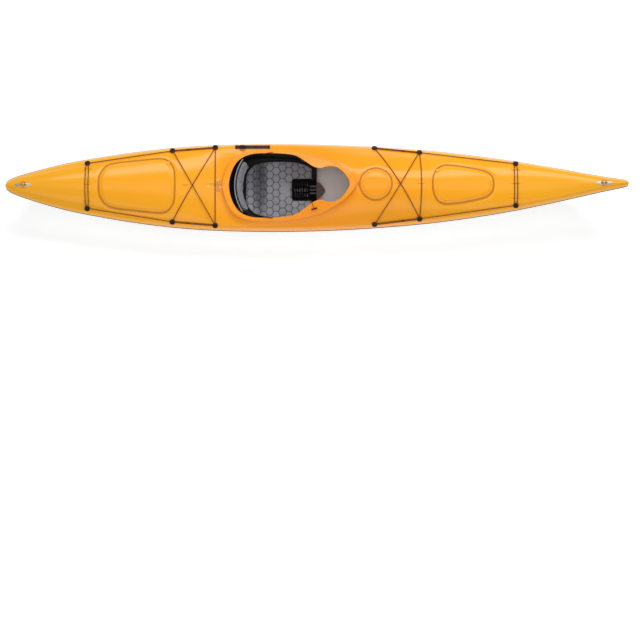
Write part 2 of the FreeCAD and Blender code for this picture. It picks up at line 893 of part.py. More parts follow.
def hatch_cover(loop, tab_place):
    """A lid with a raised panel, a skirt that drops inside the ledge and a finger tab."""
    low = gasket_thickness - ledge_depth
    top = low + hatch_plate
    plate = skin_slab(low, top, loop).common(loop_prism(loop, groove))
    panel_slab = skin_slab(low + hatch_plate / 2, top + hatch_panel_rise, loop)
    panel = panel_slab.common(loop_prism(loop, groove + hatch_band))
    skirt_outer = hatch_ledge_inset + hatch_skirt_gap
    skirt_slab = skin_slab(low - hatch_skirt, low + hatch_plate / 2, loop)
    skirt = skirt_slab.common(ring_prism(loop, skirt_outer, skirt_outer + pod_wall))
    tab_slab = skin_slab(low + hatch_plate / 2, top + tab_rise, loop)
    tab_prism = prism(Part.Wire(Part.Circle(tab_place, Vector(0, 0, 1), tab_radius).toShape()))
    tab = tab_slab.common(tab_prism).common(loop_prism(loop, groove))
    return plate.fuse([panel, skirt, tab])


def tab_on(loop_rear, loop_front, half_width, shares, along):
    """A place on the port side of a hatch's band, at a share of its length."""
    x = loop_rear + along * (loop_front - loop_rear)
    for (a0, b0), (a1, b1) in zip(shares, shares[1:]):
        if a0 <= along <= a1 and a1 > a0:
            out = b0 + (along - a0) / (a1 - a0) * (b1 - b0)
            return Vector(x, out * half_width - groove - tab_radius, 0)
    return Vector(x, 0, 0)


def day_tab_place():
    reach = day_hatch_radius - groove - tab_radius
    angle = math.radians(day_tab_angle)
    return Vector(day_hatch_x + reach * math.cos(angle), reach * math.sin(angle), 0)


def make_day_pod():
    """The round tub that hangs from the day hatch's ledge."""
    low = -ledge_depth - ledge_thickness
    crown = deck_place(day_hatch_x, 0).z
    floor_z = crown - pod_depth
    centre = Vector(day_hatch_x, 0, floor_z)
    tub = Part.makeCylinder(pod_radius, 2 * pod_depth, centre)
    tub = tub.cut(Part.makeCylinder(pod_radius - pod_wall, 2 * pod_depth, centre + Vector(0, 0, pod_wall)))
    tub = tub.common(deck_slab(low - 2 * pod_depth, low - 2 * fit, day_hatch_loop))
    flange = deck_slab(low - pod_wall - 2 * fit, low - 2 * fit, day_hatch_loop)
    outer = Part.makeCylinder(pod_radius + pod_flange, 2 * height, Vector(day_hatch_x, 0, 0))
    inner = Part.makeCylinder(pod_radius - pod_wall, 2 * height, Vector(day_hatch_x, 0, 0))
    return tub.fuse(flange.common(outer.cut(inner)))


def make_bulkhead(x):
    """A wall right across the inside, a little clear of both skins."""
    depth = wall + bulkhead_fit
    rear = x - bulkhead_thickness / 2
    front = x + bulkhead_thickness / 2
    slice_box = full_height_block(rear, front, beam)
    low = net_solid(inner_net(hull_net, depth, overrun)).common(net_solid(hull_net))
    high = net_solid(inner_net(deck_net, depth, -overrun)).common(net_solid(deck_net))
    half = value_at(x, "half") - wall - bulkhead_joint_inset
    sheer = value_at(x, "sheer")
    joint = box(Vector(rear, -half, sheer - strip_height / 2), Vector(front, half, sheer + strip_height / 2))
    return low.common(slice_box).fuse([high.common(slice_box), joint])


def skeg_profile():
    points = [
        Vector(skeg_pivot_x - a * skeg_chord, 0, skeg_pivot_z + b * skeg_depth)
        for a, b in skeg_outline_shares
    ]
    return points


def make_skeg_blade():
    """The blade drawn in its lowered place, turned up into its trunk for the rest place."""
    points = skeg_profile()
    eye = Vector(skeg_pivot_x, -skeg_thickness / 2, skeg_pivot_z)
    foil = Part.Face(Part.makePolygon(points + [points[0]])).extrude(Vector(0, skeg_thickness, 0))
    foil.translate(Vector(0, -skeg_thickness / 2, 0))
    upright = [e for e in foil.Edges if abs(e.tangentAt(e.FirstParameter).y) > 0.99]
    tips = [e for e in upright if e.BoundBox.ZMax < skeg_pivot_z - skeg_depth / 2]
    foil = foil.makeFillet(skeg_eye_radius, tips)
    ring = Part.makeCylinder(skeg_eye_radius, skeg_thickness, eye, Vector(0, 1, 0))
    bore_radius = skeg_pin_radius + skeg_pin_clearance
    bore = rod_y(skeg_pivot_x, skeg_pivot_z, bore_radius, 2 * skeg_thickness)
    blade = foil.fuse(ring).cut(bore)
    blade.rotate(Vector(skeg_pivot_x, 0, skeg_pivot_z), Vector(0, 1, 0), skeg_down_angle)
    return blade


def make_skeg_trunk():
    half = trunk_slot / 2 + trunk_wall
    base = skeg_pivot_z - height
    top = trunk_top_z
    outer = box(
        Vector(trunk_rear_x - trunk_wall, -half, base),
        Vector(trunk_front_x + trunk_wall, half, top),
    )
    hollow = box(
        Vector(trunk_rear_x, -trunk_slot / 2, base - wall),
        Vector(trunk_front_x, trunk_slot / 2, top - trunk_wall),
    )
    room = net_solid(inner_net(hull_net, wall + fit, overrun))
    trunk = outer.cut(hollow).common(room)
    trunk = trunk.cut(rod_y(skeg_pivot_x, skeg_pivot_z, skeg_pin_radius, 4 * half))
    gland = Vector(*cable_points[-1])
    gland_hole = rod(gland - Vector(overrun, 0, 0), gland + Vector(overrun, 0, 0), cable_radius + fit)
    return trunk.cut(gland_hole)


def rod_y(x, z, radius, span):
    return Part.makeCylinder(radius, span, Vector(x, -span / 2, z), Vector(0, 1, 0))


def make_skeg_pin():
    half = trunk_slot / 2 + trunk_wall
    shank = rod_y(skeg_pivot_x, skeg_pivot_z, skeg_pin_radius, 2 * half)
    heads = []
    for side in (-1, 1):
        low = half if side > 0 else -half - skeg_pin_head
        heads.append(
            Part.makeCylinder(
                skeg_pin_radius + skeg_pin_head, skeg_pin_head, Vector(skeg_pivot_x, low, skeg_pivot_z),
                Vector(0, 1, 0),
            )
        )
    return shank.fuse(heads)


def make_stern_bulkhead():
    wall_plate = make_bulkhead(stern_bulkhead_x)
    points = [Vector(*point) for point in cable_points]
    for a, b in zip(points, points[1:]):
        if b.x < stern_bulkhead_x < a.x:
            wall_plate = wall_plate.cut(rod(a, b, tube_radius + bulkhead_fit))
    return wall_plate


def make_skeg_tube():
    points = [Vector(*point) for point in cable_points]
    points[-1].x = trunk_front_x + trunk_wall + fit
    return tube(points, tube_radius, "skeg_cable_tube")


def make_slider_track():
    """Two rails over a base, with an end stop at each end and a slot between them."""
    base = box(
        Vector(slider_rear, slider_y - slider_width / 2, slider_z),
        Vector(slider_front, slider_y + slider_width / 2, slider_z + slider_thickness),
    )
    groove_cut = slider_slot()
    ends = []
    top = slider_z + slider_thickness + slider_rail
    for x in (slider_rear, slider_front - slider_end):
        ends.append(
            box(
                Vector(x, slider_y - slider_width / 2, slider_z),
                Vector(x + slider_end, slider_y + slider_width / 2, top),
            )
        )
    return base.cut(groove_cut).fuse(ends)


def make_slider_knob():
    """A flat round finger ring on a stem that runs in the track's slot."""
    x = slider_rear + slider_end + knob_end_gap + knob_rest_gap + knob_radius
    seat = slider_z + slider_thickness + knob_fit
    centre_z = seat + knob_radius + knob_foot - knob_sink
    ring = rod_y(0, 0, knob_radius, knob_thickness)
    edges = [e for e in ring.Edges if abs(e.BoundBox.YLength) < fit]
    ring = ring.makeFillet(knob_thickness * knob_round_share, edges)
    ring = ring.cut(rod_y(0, 0, knob_bore, 2 * knob_thickness))
    ring.translate(Vector(x, slider_y, centre_z))
    foot = box(
        Vector(x - knob_radius, slider_y - knob_thickness / 2, seat),
        Vector(x + knob_radius, slider_y + knob_thickness / 2, seat + knob_foot),
    )
    half_stem = slider_groove / 2 - knob_fit
    stem = box(
        Vector(x - knob_stem_length / 2, slider_y - half_stem, slider_z - slider_seat_depth - knob_fit),
        Vector(x + knob_stem_length / 2, slider_y + half_stem, seat + knob_foot),
    )
    return ring.fuse([foot, stem])


def fitting_frame(x, y):
    place = deck_place(x, y)
    return place, deck_normal(place)


def knob_form(base, normal, grow):
    """A waisted knob turned about the deck's normal, made larger all round by a clearance."""
    profile = [
        Vector(0, 0, -grow),
        Vector(fitting_radius + grow, 0, -grow),
        Vector(fitting_radius + grow, 0, fitting_base + grow),
        Vector(fitting_waist + grow, 0, fitting_base + fitting_neck + grow),
        Vector(fitting_waist + grow, 0, fitting_waist_height - grow),
        Vector(fitting_radius + grow, 0, fitting_waist_height + fitting_neck - grow),
        Vector(fitting_radius * fitting_top_share + grow, 0, fitting_height + grow),
        Vector(0, 0, fitting_height + grow),
        Vector(0, 0, -grow),
    ]
    knob = Part.Face(Part.makePolygon(profile)).revolve(Vector(0, 0, 0), Vector(0, 0, 1), 360)
    knob.Placement = FreeCAD.Placement(base, FreeCAD.Rotation(Vector(0, 0, 1), normal))
    return knob


def make_fitting(x, y):
    """A round knob that lines and bungees pass through, with a recess for its screw."""
    place, normal = fitting_frame(x, y)
    base = place + normal * fit
    knob = knob_form(base, normal, 0)
    under_head = base + normal * (fitting_height - screw_head_height)
    head = rod(under_head, base + normal * height, screw_head_radius + fit)
    hole = rod(base - normal * wall, base + normal * height, screw_radius + fit)
    return knob.cut(head).cut(hole)


def make_screw(x, y):
    place, normal = fitting_frame(x, y)
    top = place + normal * (fit + fitting_height)
    under_head = top - normal * screw_head_height
    tip = top - normal * (screw_length + screw_head_height)
    inner = place - normal * (wall + deck_inner_fit)
    head = rod(under_head, top, screw_head_radius)
    shank = rod(tip, under_head, screw_radius)
    nut = rod(inner - normal * nut_height, inner, nut_radius)
    return head.fuse([shank, nut])


def knob_clear(solid, places):
    """Ends a cord a little clear of the knobs that it meets."""
    for x, y in places:
        place, normal = fitting_frame(x, y)
        core = rod(place, place + normal * (2 * fitting_height), fitting_waist + cord_fit)
        solid = solid.cut(core).cut(knob_form(place + normal * fit, normal, cord_fit))
    return solid


def slope_between(near, far):
    return (far.z - near.z) / math.hypot(far.x - near.x, far.y - near.y)


def taut_route(start, end, lift, count):
    """Places a cord on the crown between two places, as a taut cord lies."""
    sampled = []
    for i in range(count + 1):
        share = i / count
        x = start[0] + share * (end[0] - start[0])
        y = start[1] + share * (end[1] - start[1])
        sampled.append(deck_point(x, y, lift))
    route = [0]
    while route[-1] < count:
        here = route[-1]
        slopes = [round(slope_between(sampled[here], point), 3) for point in sampled[here + 1:]]
        route.append(here + 1 + slopes.index(max(slopes)))
    return [sampled[i] for i in route]


def line_between(place_a, place_b, radius, lift, count, label):
    route = taut_route(place_a, place_b, lift, count)
    return tube(route, radius, label)


def perimeter_lines(shares, label):
    """Lines on both sides through the three knobs of one end of the boat."""
    lines = []
    places = fitting_places(shares)
    for side in (0, 1):
        stops = places[side::2]
        for a, b in zip(stops, stops[1:]):
            line = line_between(a, b, line_radius, line_height, line_steps, label)
            lines.append(knob_clear(line, (a, b)))
    return compound(lines)


def crossed_bungees(shares, label):
    """Two bungees from the corners of the first two rows of knobs, one over the other."""
    places = fitting_places(shares)
    near_port, near_starboard, far_port, far_starboard = places[:4]
    lows = line_between(near_port, far_starboard, bungee_radius, bungee_low, bungee_steps, label)
    highs = line_between(near_starboard, far_port, bungee_radius, bungee_high, bungee_steps, label)
    low = knob_clear(lows, (near_port, far_starboard))
    high = knob_clear(highs, (near_starboard, far_port))
    return [low, high]


def cross_bungee(place, shift, lift, steps, label):
    """A bungee straight across the deck from a knob to its partner."""
    x, y = place
    out = abs(y) - (fitting_waist if shift else 0)
    across = line_between((x + shift, out), (x + shift, -out), bungee_radius, lift, steps, label)
    return knob_clear(across, (place, (x, -y)))


def make_bow_bungees():
    places = fitting_places(bow_fitting_shares)
    pieces = crossed_bungees(bow_fitting_shares, "bow cross")
    pieces.append(cross_bungee(places[2], 0, bungee_top, bungee_steps, "bow across"))
    for side in (-1, 1):
        shift = side * bungee_pitch / 2
        pieces.append(cross_bungee(places[4], shift, bungee_low, bungee_short_steps, "bow double"))
    return compound(pieces)


def make_stern_bungees():
    places = fitting_places(stern_fitting_shares)
    pieces = crossed_bungees(stern_fitting_shares, "stern cross")
    pieces.append(cross_bungee(places[0], 0, bungee_top, bungee_steps, "stern across"))
    for side in (-1, 1):
        shift = side * bungee_pitch / 2
        pieces.append(cross_bungee(places[4], shift, bungee_low, bungee_short_steps, "stern double"))
    return compound(pieces)


def make_line_clip(a, b, share):
    """A short cord lock on a perimeter line, a little clear of the line it grips."""
    x = a[0] + share * (b[0] - a[0])
    y = a[1] + share * (b[1] - a[1])
    centre = deck_point(x, y, line_height)
    along = (deck_point(*b, line_height) - deck_point(*a, line_height)).normalize()
    half = along * (clip_length / 2)
    sleeve = rod(centre - half, centre + half, clip_radius)
    bore = rod(centre - half * 2, centre + half * 2, line_radius + clip_fit)
    return sleeve.cut(bore)


def make_line_clips():
    clips = []
    for shares, share in ((bow_fitting_shares, bow_clip_share), (stern_fitting_shares, stern_clip_share)):
        places = fitting_places(shares)
        for side in (0, 1):
            clips.append(make_line_clip(places[side], places[side + 2], share))
    return compound(clips)


def make_end_padeye(x):
    """A polished bar that bridges the round cup moulded in the deck."""
    top = deck_place(x, 0)
    along = (deck_place(x + probe, 0) - deck_place(x - probe, 0)).normalize()
    plate = Part.makeBox(padeye_length, padeye_width, padeye_thickness)
    plate.translate(Vector(-padeye_length / 2, -padeye_width / 2, 0))
    for e_sign in (-1, 1):
        corners = [
            Vector(e_sign * padeye_length / 2, -padeye_width / 2, 0),
            Vector(e_sign * padeye_length / 2, padeye_width / 2, 0),
        ]
        for corner in corners:
            taper = Part.makePolygon([
                corner,
                corner + Vector(-e_sign * padeye_taper, 0, 0),
                Vector(corner.x, corner.y * padeye_tip_share, 0),
                corner,
            ])
            plate = plate.cut(Part.Face(taper).extrude(Vector(0, 0, padeye_thickness)))
    for side in (-1, 1):
        low = padeye_bridge_half_width if side > 0 else -padeye_width
        high = padeye_width if side > 0 else -padeye_bridge_half_width
        window = box(
            Vector(-padeye_bore, low, -padeye_thickness),
            Vector(padeye_bore, high, 2 * padeye_thickness),
        )
        plate = plate.cut(window)
    turn = FreeCAD.Rotation(Vector(1, 0, 0), along)
    plate.Placement = FreeCAD.Placement(top + Vector(0, 0, padeye_lift), turn)
    return plate


def rear_padeye_leg(side, grow):
    foot = deck_place(rear_padeye_x, side * rear_padeye_span / 2) - Vector(0, 0, 2 * wall)
    return Part.makeCylinder(rear_padeye_rod + grow, 2 * wall + rear_padeye_rise, foot)


def make_rear_padeye():
    """An athwartship bow of round rod on two feet behind the cockpit."""
    ends = [deck_place(rear_padeye_x, side * rear_padeye_span / 2) for side in (1, -1)]
    top = max(ends[0].z, ends[1].z, deck_place(rear_padeye_x, 0).z) + rear_padeye_rise
    bend = rear_padeye_rise * rear_padeye_bend_share
    points = [
        ends[0] - Vector(0, 0, 2 * wall),
        Vector(ends[0].x, ends[0].y, top),
        Vector(ends[1].x, ends[1].y, top),
        ends[1] - Vector(0, 0, 2 * wall),
    ]
    inward = Vector(0, -bend, 0)
    down = Vector(0, 0, -bend)
    slope = bend * (1 - math.sqrt(0.5))
    edges = [
        Part.makeLine(points[0], points[1] + down),
        Part.Arc(points[1] + down, points[1] + Vector(0, -slope, -slope), points[1] + inward).toShape(),
        Part.makeLine(points[1] + inward, points[2] - inward),
        Part.Arc(points[2] - inward, points[2] + Vector(0, slope, -slope), points[2] + down).toShape(),
        Part.makeLine(points[2] + down, points[3]),
    ]
    ring = Part.Wire([Part.Circle(points[0], Vector(0, 0, 1), rear_padeye_rod).toShape()])
    bow = Part.Wire(edges).makePipeShell([ring], True, False)
    feet = []
    for end in ends:
        base = end + Vector(0, 0, rear_padeye_seat)
        feet.append(Part.makeCylinder(rear_padeye_foot_radius, rear_padeye_foot_thickness, base))
    return bow.fuse(feet)


def seat_surface():
    """The dished seat, higher at its sides and rear, as a net of points."""
    net = []
    for along in reversed(seat_row_shares):
        row = []
        for across in seat_column_shares:
            z = seat_height + seat_side_rise * abs(across) ** 3 + seat_rear_rise * (1 - along) ** 4
            z -= seat_dish * (1 - across**2) * math.sin(math.pi * along)
            x = seat_rear + along * (seat_front - seat_rear)
            row.append(Vector(x, across * rim_half_width, z))
        net.append(row)
    return net


def seat_place(x, y, lift=0):
    along = (x - seat_rear) / (seat_front - seat_rear)
    across = y / rim_half_width
    z = seat_height + seat_side_rise * abs(across) ** 3 + seat_rear_rise * (1 - along) ** 4
    z -= seat_dish * (1 - across**2) * math.sin(math.pi * along)
    return Vector(x, y, z + lift)


def make_seat_pan():
    """A moulded tray with a lug each side for the backrest's pins."""
    tray = net_slab(seat_surface(), -seat_shell, 0).common(loop_prism(rim_loop, pan_inset))
    lugs = []
    for side in (-1, 1):
        low = back_lug_inner if side > 0 else -back_lug_inner - back_arm_thickness
        lug = box(
            Vector(back_hinge_x - back_arm / 2, low, seat_height),
            Vector(back_hinge_x + back_arm / 2, low + back_arm_thickness, back_hinge_z),
        )
        crown = Part.makeCylinder(
            back_arm / 2, back_arm_thickness, Vector(back_hinge_x, low, back_hinge_z), Vector(0, 1, 0)
        )
        lugs.append(lug.fuse(crown))
    tray = tray.fuse(lugs).cut(ladder_slots())
    return tray.cut(rod_y(back_hinge_x, back_hinge_z, back_pin_radius, 2 * beam))


def notch_prism(grow=0):
    """The opening in the front of the pad, with round inner corners."""
    block = full_height_block(notch_rear - grow, seat_front + overrun, notch_half_width + grow)
    corners = [
        e for e in block.Edges if e.BoundBox.ZLength > height and e.BoundBox.XMax < notch_rear - grow + fit
    ]
    return block.makeFillet(notch_corner, corners)


def make_seat_pad():
    """A foam pad that follows the tray, crowned in the middle and thin along its edges."""
    low = seat_surface()
    high = []
    for row in low:
        lifted = []
        for point in row:
            crown = 1 - (abs(point.y) / rim_half_width) ** 4 * pad_edge_share
            lifted.append(point + Vector(0, 0, pad_thickness * crown))
        high.append(lifted)
    slab = slab_between(raised(low, fit), high, whole(low))
    pad = slab.common(loop_prism(pad_loop)).cut(notch_prism())
    for x, y in rivet_places:
        pad = pad.cut(Part.makeCylinder(rivet_radius + fit, height, Vector(x, y, 0)))
    return pad


def make_seat_rivets():
    rivets = []
    for x, y in rivet_places:
        base = seat_place(x, y, rivet_seat)
        top = pad_thickness + rivet_height
        head = Part.makeCylinder(rivet_radius, top, base)
        rivets.append(head)
    return compound(rivets)


def ladder_slots():
    """Three rows of slots across the seat, through the panel and the tray under it."""
    reach = notch_half_width - ladder_gap
    pitch_x = (webbing_rear - notch_rear - ladder_gap) / (ladder_columns + 1)
    pitch_y = 2 * reach / (ladder_rows + 1)
    half = Vector(ladder_slot_width / 2, ladder_slot_length / 2, height)
    slots = []
    for i in range(ladder_columns):
        for j in range(ladder_rows):
            x = notch_rear + ladder_gap + (i + 1) * pitch_x
            y = (j + 1) * pitch_y - reach
            slots.append(box(Vector(x, y, 0) - half, Vector(x, y, 0) + half))
    return slots


def make_seat_ladder():
    """The slotted panel in the pad's notch."""
    panel = net_slab(seat_surface(), fit, fit + ladder_thickness)
    return panel.common(notch_prism(-ladder_gap)).cut(ladder_slots())


def make_seat_webbing():
    """Straps laid fore and aft over the front of the slotted panel."""
    lift = 2 * fit + ladder_thickness
    straps = []
    for i in range(webbing_count):
        y = (i - (webbing_count - 1) / 2) * webbing_pitch
        slab = net_slab(seat_surface(), lift, lift + webbing_thickness)
        block = box(
            Vector(webbing_rear, y - webbing_width / 2, 0),
            Vector(seat_front - fit, y + webbing_width / 2, height),
        )
        straps.append(slab.common(block))
    return compound(straps)


def make_side_panels():
    """Plates that hang inside the rim's wall and carry the tray's edges."""
    outer = rim_wall_inner + panel_gap
    ring = ring_prism(rim_loop, outer, outer + side_panel)
    plates = ring.common(deck_slab(-height, rim_rise - rim_thickness - panel_gap, rim_loop))
    low = Vector(side_panel_rear, -beam, seat_height - seat_shell)
    return plates.common(box(low, Vector(side_panel_front, beam, height)))


def make_seat_feet():
    """Foam blocks between the tray and the hull's floor."""
    feet = []
    room = net_solid(inner_net(hull_net, wall + fit, overrun))
    under = net_slab(seat_surface(), -height, -seat_shell - fit)
    for along in seat_foot_shares:
        x = seat_rear + along * (seat_front - seat_rear)
        for side in (-1, 1):
            y = side * seat_foot_y
            block = box(
                Vector(x - seat_foot_length / 2, y - seat_foot_width / 2, -wall),
                Vector(x + seat_foot_length / 2, y + seat_foot_width / 2, height),
            )
            feet.append(block.common(room).common(under))
    return compound(feet)


def back_section(inner, outer, low, high, crown, drawn, lean):
    """A cushion's section: a hollow front that is thick at its foot, with top and bottom drawn in."""
    middle = (low + high) / 2
    front_low = Vector(lean - inner, 0, low + drawn)
    front_high = Vector(-inner, 0, high - drawn)
    rear_low = Vector(-outer, 0, low)
    rear_high = Vector(-outer, 0, high)
    front = Part.Arc(front_low, Vector(lean / 2 - inner - crown, 0, middle), front_high).toShape()
    rise = Part.Arc(
        front_high, Vector(-(inner + outer) / 2, 0, high + drawn / 4), rear_high
    ).toShape()
    fall = Part.Arc(
        rear_low, Vector((lean - inner - outer) / 2, 0, low + drawn / 4), front_low
    ).toShape()
    back = Part.makeLine(rear_high, rear_low)
    return Part.Face(Part.Wire([front, rise, back, fall]))


def swept_back(face, half_angle):
    """A section turned about the backrest's own centre line, then set in place."""
    face.rotate(Vector(0, 0, 0), Vector(0, 0, 1), half_angle)
    solid = face.revolve(Vector(0, 0, 0), Vector(0, 0, 1), -2 * half_angle)
    solid.translate(Vector(back_rear + back_radius, 0, 0))
    return solid


def flat_section(inner, outer, low, high):
    ways = ((inner, low), (inner, high), (outer, high), (outer, low), (inner, low))
    return Part.Face(Part.makePolygon([Vector(-reach, 0, z) for reach, z in ways]))


def make_backrest_shell():
    """A curved plate with an arm down to the pin at each side."""
    plate = flat_section(back_radius, back_radius + back_shell, back_bottom, back_top)
    shell = swept_back(plate, back_half_angle)
    arms = []
    for side in (-1, 1):
        outer = back_lug_inner - bracket_gap
        low = outer - back_arm_thickness if side > 0 else -outer
        eye = Part.makeCylinder(
            back_arm / 2, back_arm_thickness, Vector(back_hinge_x, low, back_hinge_z), Vector(0, 1, 0)
        )
        upright = box(
            Vector(back_hinge_x - back_arm / 2, low, back_hinge_z),
            Vector(back_hinge_x + back_arm / 2, low + back_arm_thickness, back_bottom + back_arm_rise),
        )
        arms.append(eye.fuse(upright))
    bore = rod_y(back_hinge_x, back_hinge_z, back_pin_radius + skeg_pin_clearance, 2 * beam)
    return shell.fuse(arms).cut(bore)


def make_backrest_pad():
    inner = back_radius - fit - back_pad
    outer = back_radius - fit
    low = back_bottom + fit
    high = back_top - fit
    face = back_section(inner, outer, low, high, back_crown, back_drawn, back_lean)
    return swept_back(face, back_pad_half_angle)


def make_backrest_band():
    inner = back_radius + back_shell + fit
    low = back_top - back_band_height
    face = flat_section(inner, inner + back_band, low, back_top)
    return swept_back(face, back_half_angle)


def make_backrest_pins():
    pins = []
    for side in (-1, 1):
        outer = back_lug_inner + back_arm_thickness
        inner = back_lug_inner - bracket_gap - back_arm_thickness
        start = Vector(back_hinge_x, side * inner, back_hinge_z)
        shank = Part.makeCylinder(back_pin_radius, outer - inner, start, Vector(0, side, 0))
        head = Part.makeCylinder(
            back_pin_radius + skeg_pin_head, skeg_pin_head, Vector(back_hinge_x, side * outer, back_hinge_z),
            Vector(0, side, 0),
        )
        pins.append(shank.fuse(head))
    return compound(pins)


hull_inside_net = inner_net(hull_net, wall, 0)
hull_room = Part.makeCompound(net_strips(hull_inside_net, whole(hull_inside_net)))


def hull_inner_y(x, z):
    """Where the hull's inner face stands on the port side."""
    ray = Part.makeLine(Vector(x, 0, z), Vector(x, beam, z))
    return ray.distToShape(hull_room)[1][0][1].y


def rail_frame():
    """The port rail's line: its start, its end and its direction along the hull's side."""
    ends = [Vector(x, hull_inner_y(x, rail_z) - rail_gap, rail_z) for x in (rail_rear, rail_front)]
    return ends[0], ends[1], (ends[1] - ends[0]).normalize()


def rail_placed(solid):
    """Sets a solid drawn along +X, with its back at y 0 and inboard towards -Y, on the hull's side."""
    start, end, along = rail_frame()
    turn = FreeCAD.Rotation(Vector(1, 0, 0), along)
    solid.Placement = FreeCAD.Placement(start, turn).multiply(solid.Placement)
    return solid


def rail_length():
    start, end, along = rail_frame()
    return (end - start).Length


def make_foot_rail():
    """A channel with lips, closed at both ends, on two bosses against the hull."""
    size = rail_length()
    half = rail_height / 2
    body = box(Vector(0, -rail_depth, -half), Vector(size, 0, half))
    throat = half - rail_lip - rail_web
    slot_start = rail_web * 2
    head_room = box(
        Vector(slot_start, -rail_depth + rail_web, -half + rail_web),
        Vector(size - slot_start, -rail_web, half - rail_web),
    )
    mouth = box(
        Vector(slot_start, -rail_depth - rail_web, -throat),
        Vector(size - slot_start, -rail_web, throat),
    )
    body = body.cut(head_room).cut(mouth)
    bosses = []
    for x in (rail_web * 4, size - rail_web * 4):
        bosses.append(Part.makeCylinder(half - rail_web, rail_boss, Vector(x, 0, 0), Vector(0, 1, 0)))
    return rail_placed(body.fuse(bosses)).common(net_solid(inner_net(hull_net, wall + fit, overrun)))


def make_foot_pedal():
    """A foot plate on a tee-headed slider that runs in the rail."""
    middle = rail_length() / 2
    half = rail_height / 2
    throat = half - rail_lip - rail_web
    head = box(
        Vector(middle - pedal_slider / 2, -rail_depth + rail_web + pedal_fit, -half + rail_web + pedal_fit),
        Vector(middle + pedal_slider / 2, -rail_web - pedal_fit, half - rail_web - pedal_fit),
    )
    neck = box(
        Vector(middle - pedal_slider / 2, -rail_depth - pedal_reach, -throat + pedal_fit),
        Vector(middle + pedal_slider / 2, -rail_web - 2 * pedal_fit, throat - pedal_fit),
    )
    plate = Part.makeBox(pedal_thickness, pedal_width, pedal_height)
    plate = plate.makeFillet(pedal_thickness / 3, [e for e in plate.Edges if e.Length < pedal_width + fit])
    plate.translate(Vector(-pedal_thickness / 2, -rail_depth - pedal_reach - pedal_width, -pedal_height / 2))
    plate.rotate(Vector(0, 0, 0), Vector(0, 1, 0), pedal_lean)
    plate.translate(Vector(middle, 0, pedal_height * pedal_rise_share))
    bars = []
    inboard = pedal_bar_radius - rail_depth - pedal_reach - pedal_width
    for i in range(pedal_bars):
        share = (i + 1) / (pedal_bars + 1) - 0.5
        start = Vector(-pedal_thickness / 2, inboard, share * pedal_height)
        span = pedal_width - 2 * pedal_bar_radius
        bar = Part.makeCylinder(pedal_bar_radius, span, start, Vector(0, 1, 0))
        bar.rotate(Vector(0, 0, 0), Vector(0, 1, 0), pedal_lean)
        bar.translate(Vector(middle, 0, pedal_height * pedal_rise_share))
        bars.append(bar)
    return rail_placed(head.fuse([neck, plate] + bars))


def rim_top(x, y, lift):
    return deck_place(x, y) + Vector(0, 0, rim_rise + lift)


def make_pull_handle():
    """A small cross bar that lies on the starboard thigh brace."""
    middle = rim_top(handle_x, handle_y, handle_radius + handle_lift)
    turn = math.radians(handle_turn)
    step = Vector(probe * math.cos(turn), probe * math.sin(turn), 0)
    ahead = deck_place(handle_x + step.x, handle_y + step.y)
    along = (ahead - deck_place(handle_x - step.x, handle_y - step.y)).normalize()
    bar = rod(middle - along * (handle_length / 2), middle + along * (handle_length / 2), handle_radius)
    edges = [e for e in bar.Edges if e.Closed]
    return bar.makeFillet(handle_radius * knob_round_share, edges)


def make_pull_cord():
    """From the handle over the brace's edge and down to the front of the seat."""
    points = [rim_top(x, y, pull_cord_radius + 2 * fit) for x, y in pull_cord_rim_places]
    points += [Vector(*point) for point in pull_cord_points]
    return tube(points, pull_cord_radius, "seat_pull_cord")


trunk_front_x = skeg_pivot_x + trunk_front_gap
trunk_rear_x = trunk_front_x - trunk_length
stern_tab = tab_on(
    stern_hatch_rear, stern_hatch_front, stern_hatch_half_width, stern_hatch_shares, stern_tab_share
)
bow_tab = tab_on(bow_hatch_rear, bow_hatch_front, bow_hatch_half_width, bow_hatch_shares, bow_tab_share)
day_tab = day_tab_place()


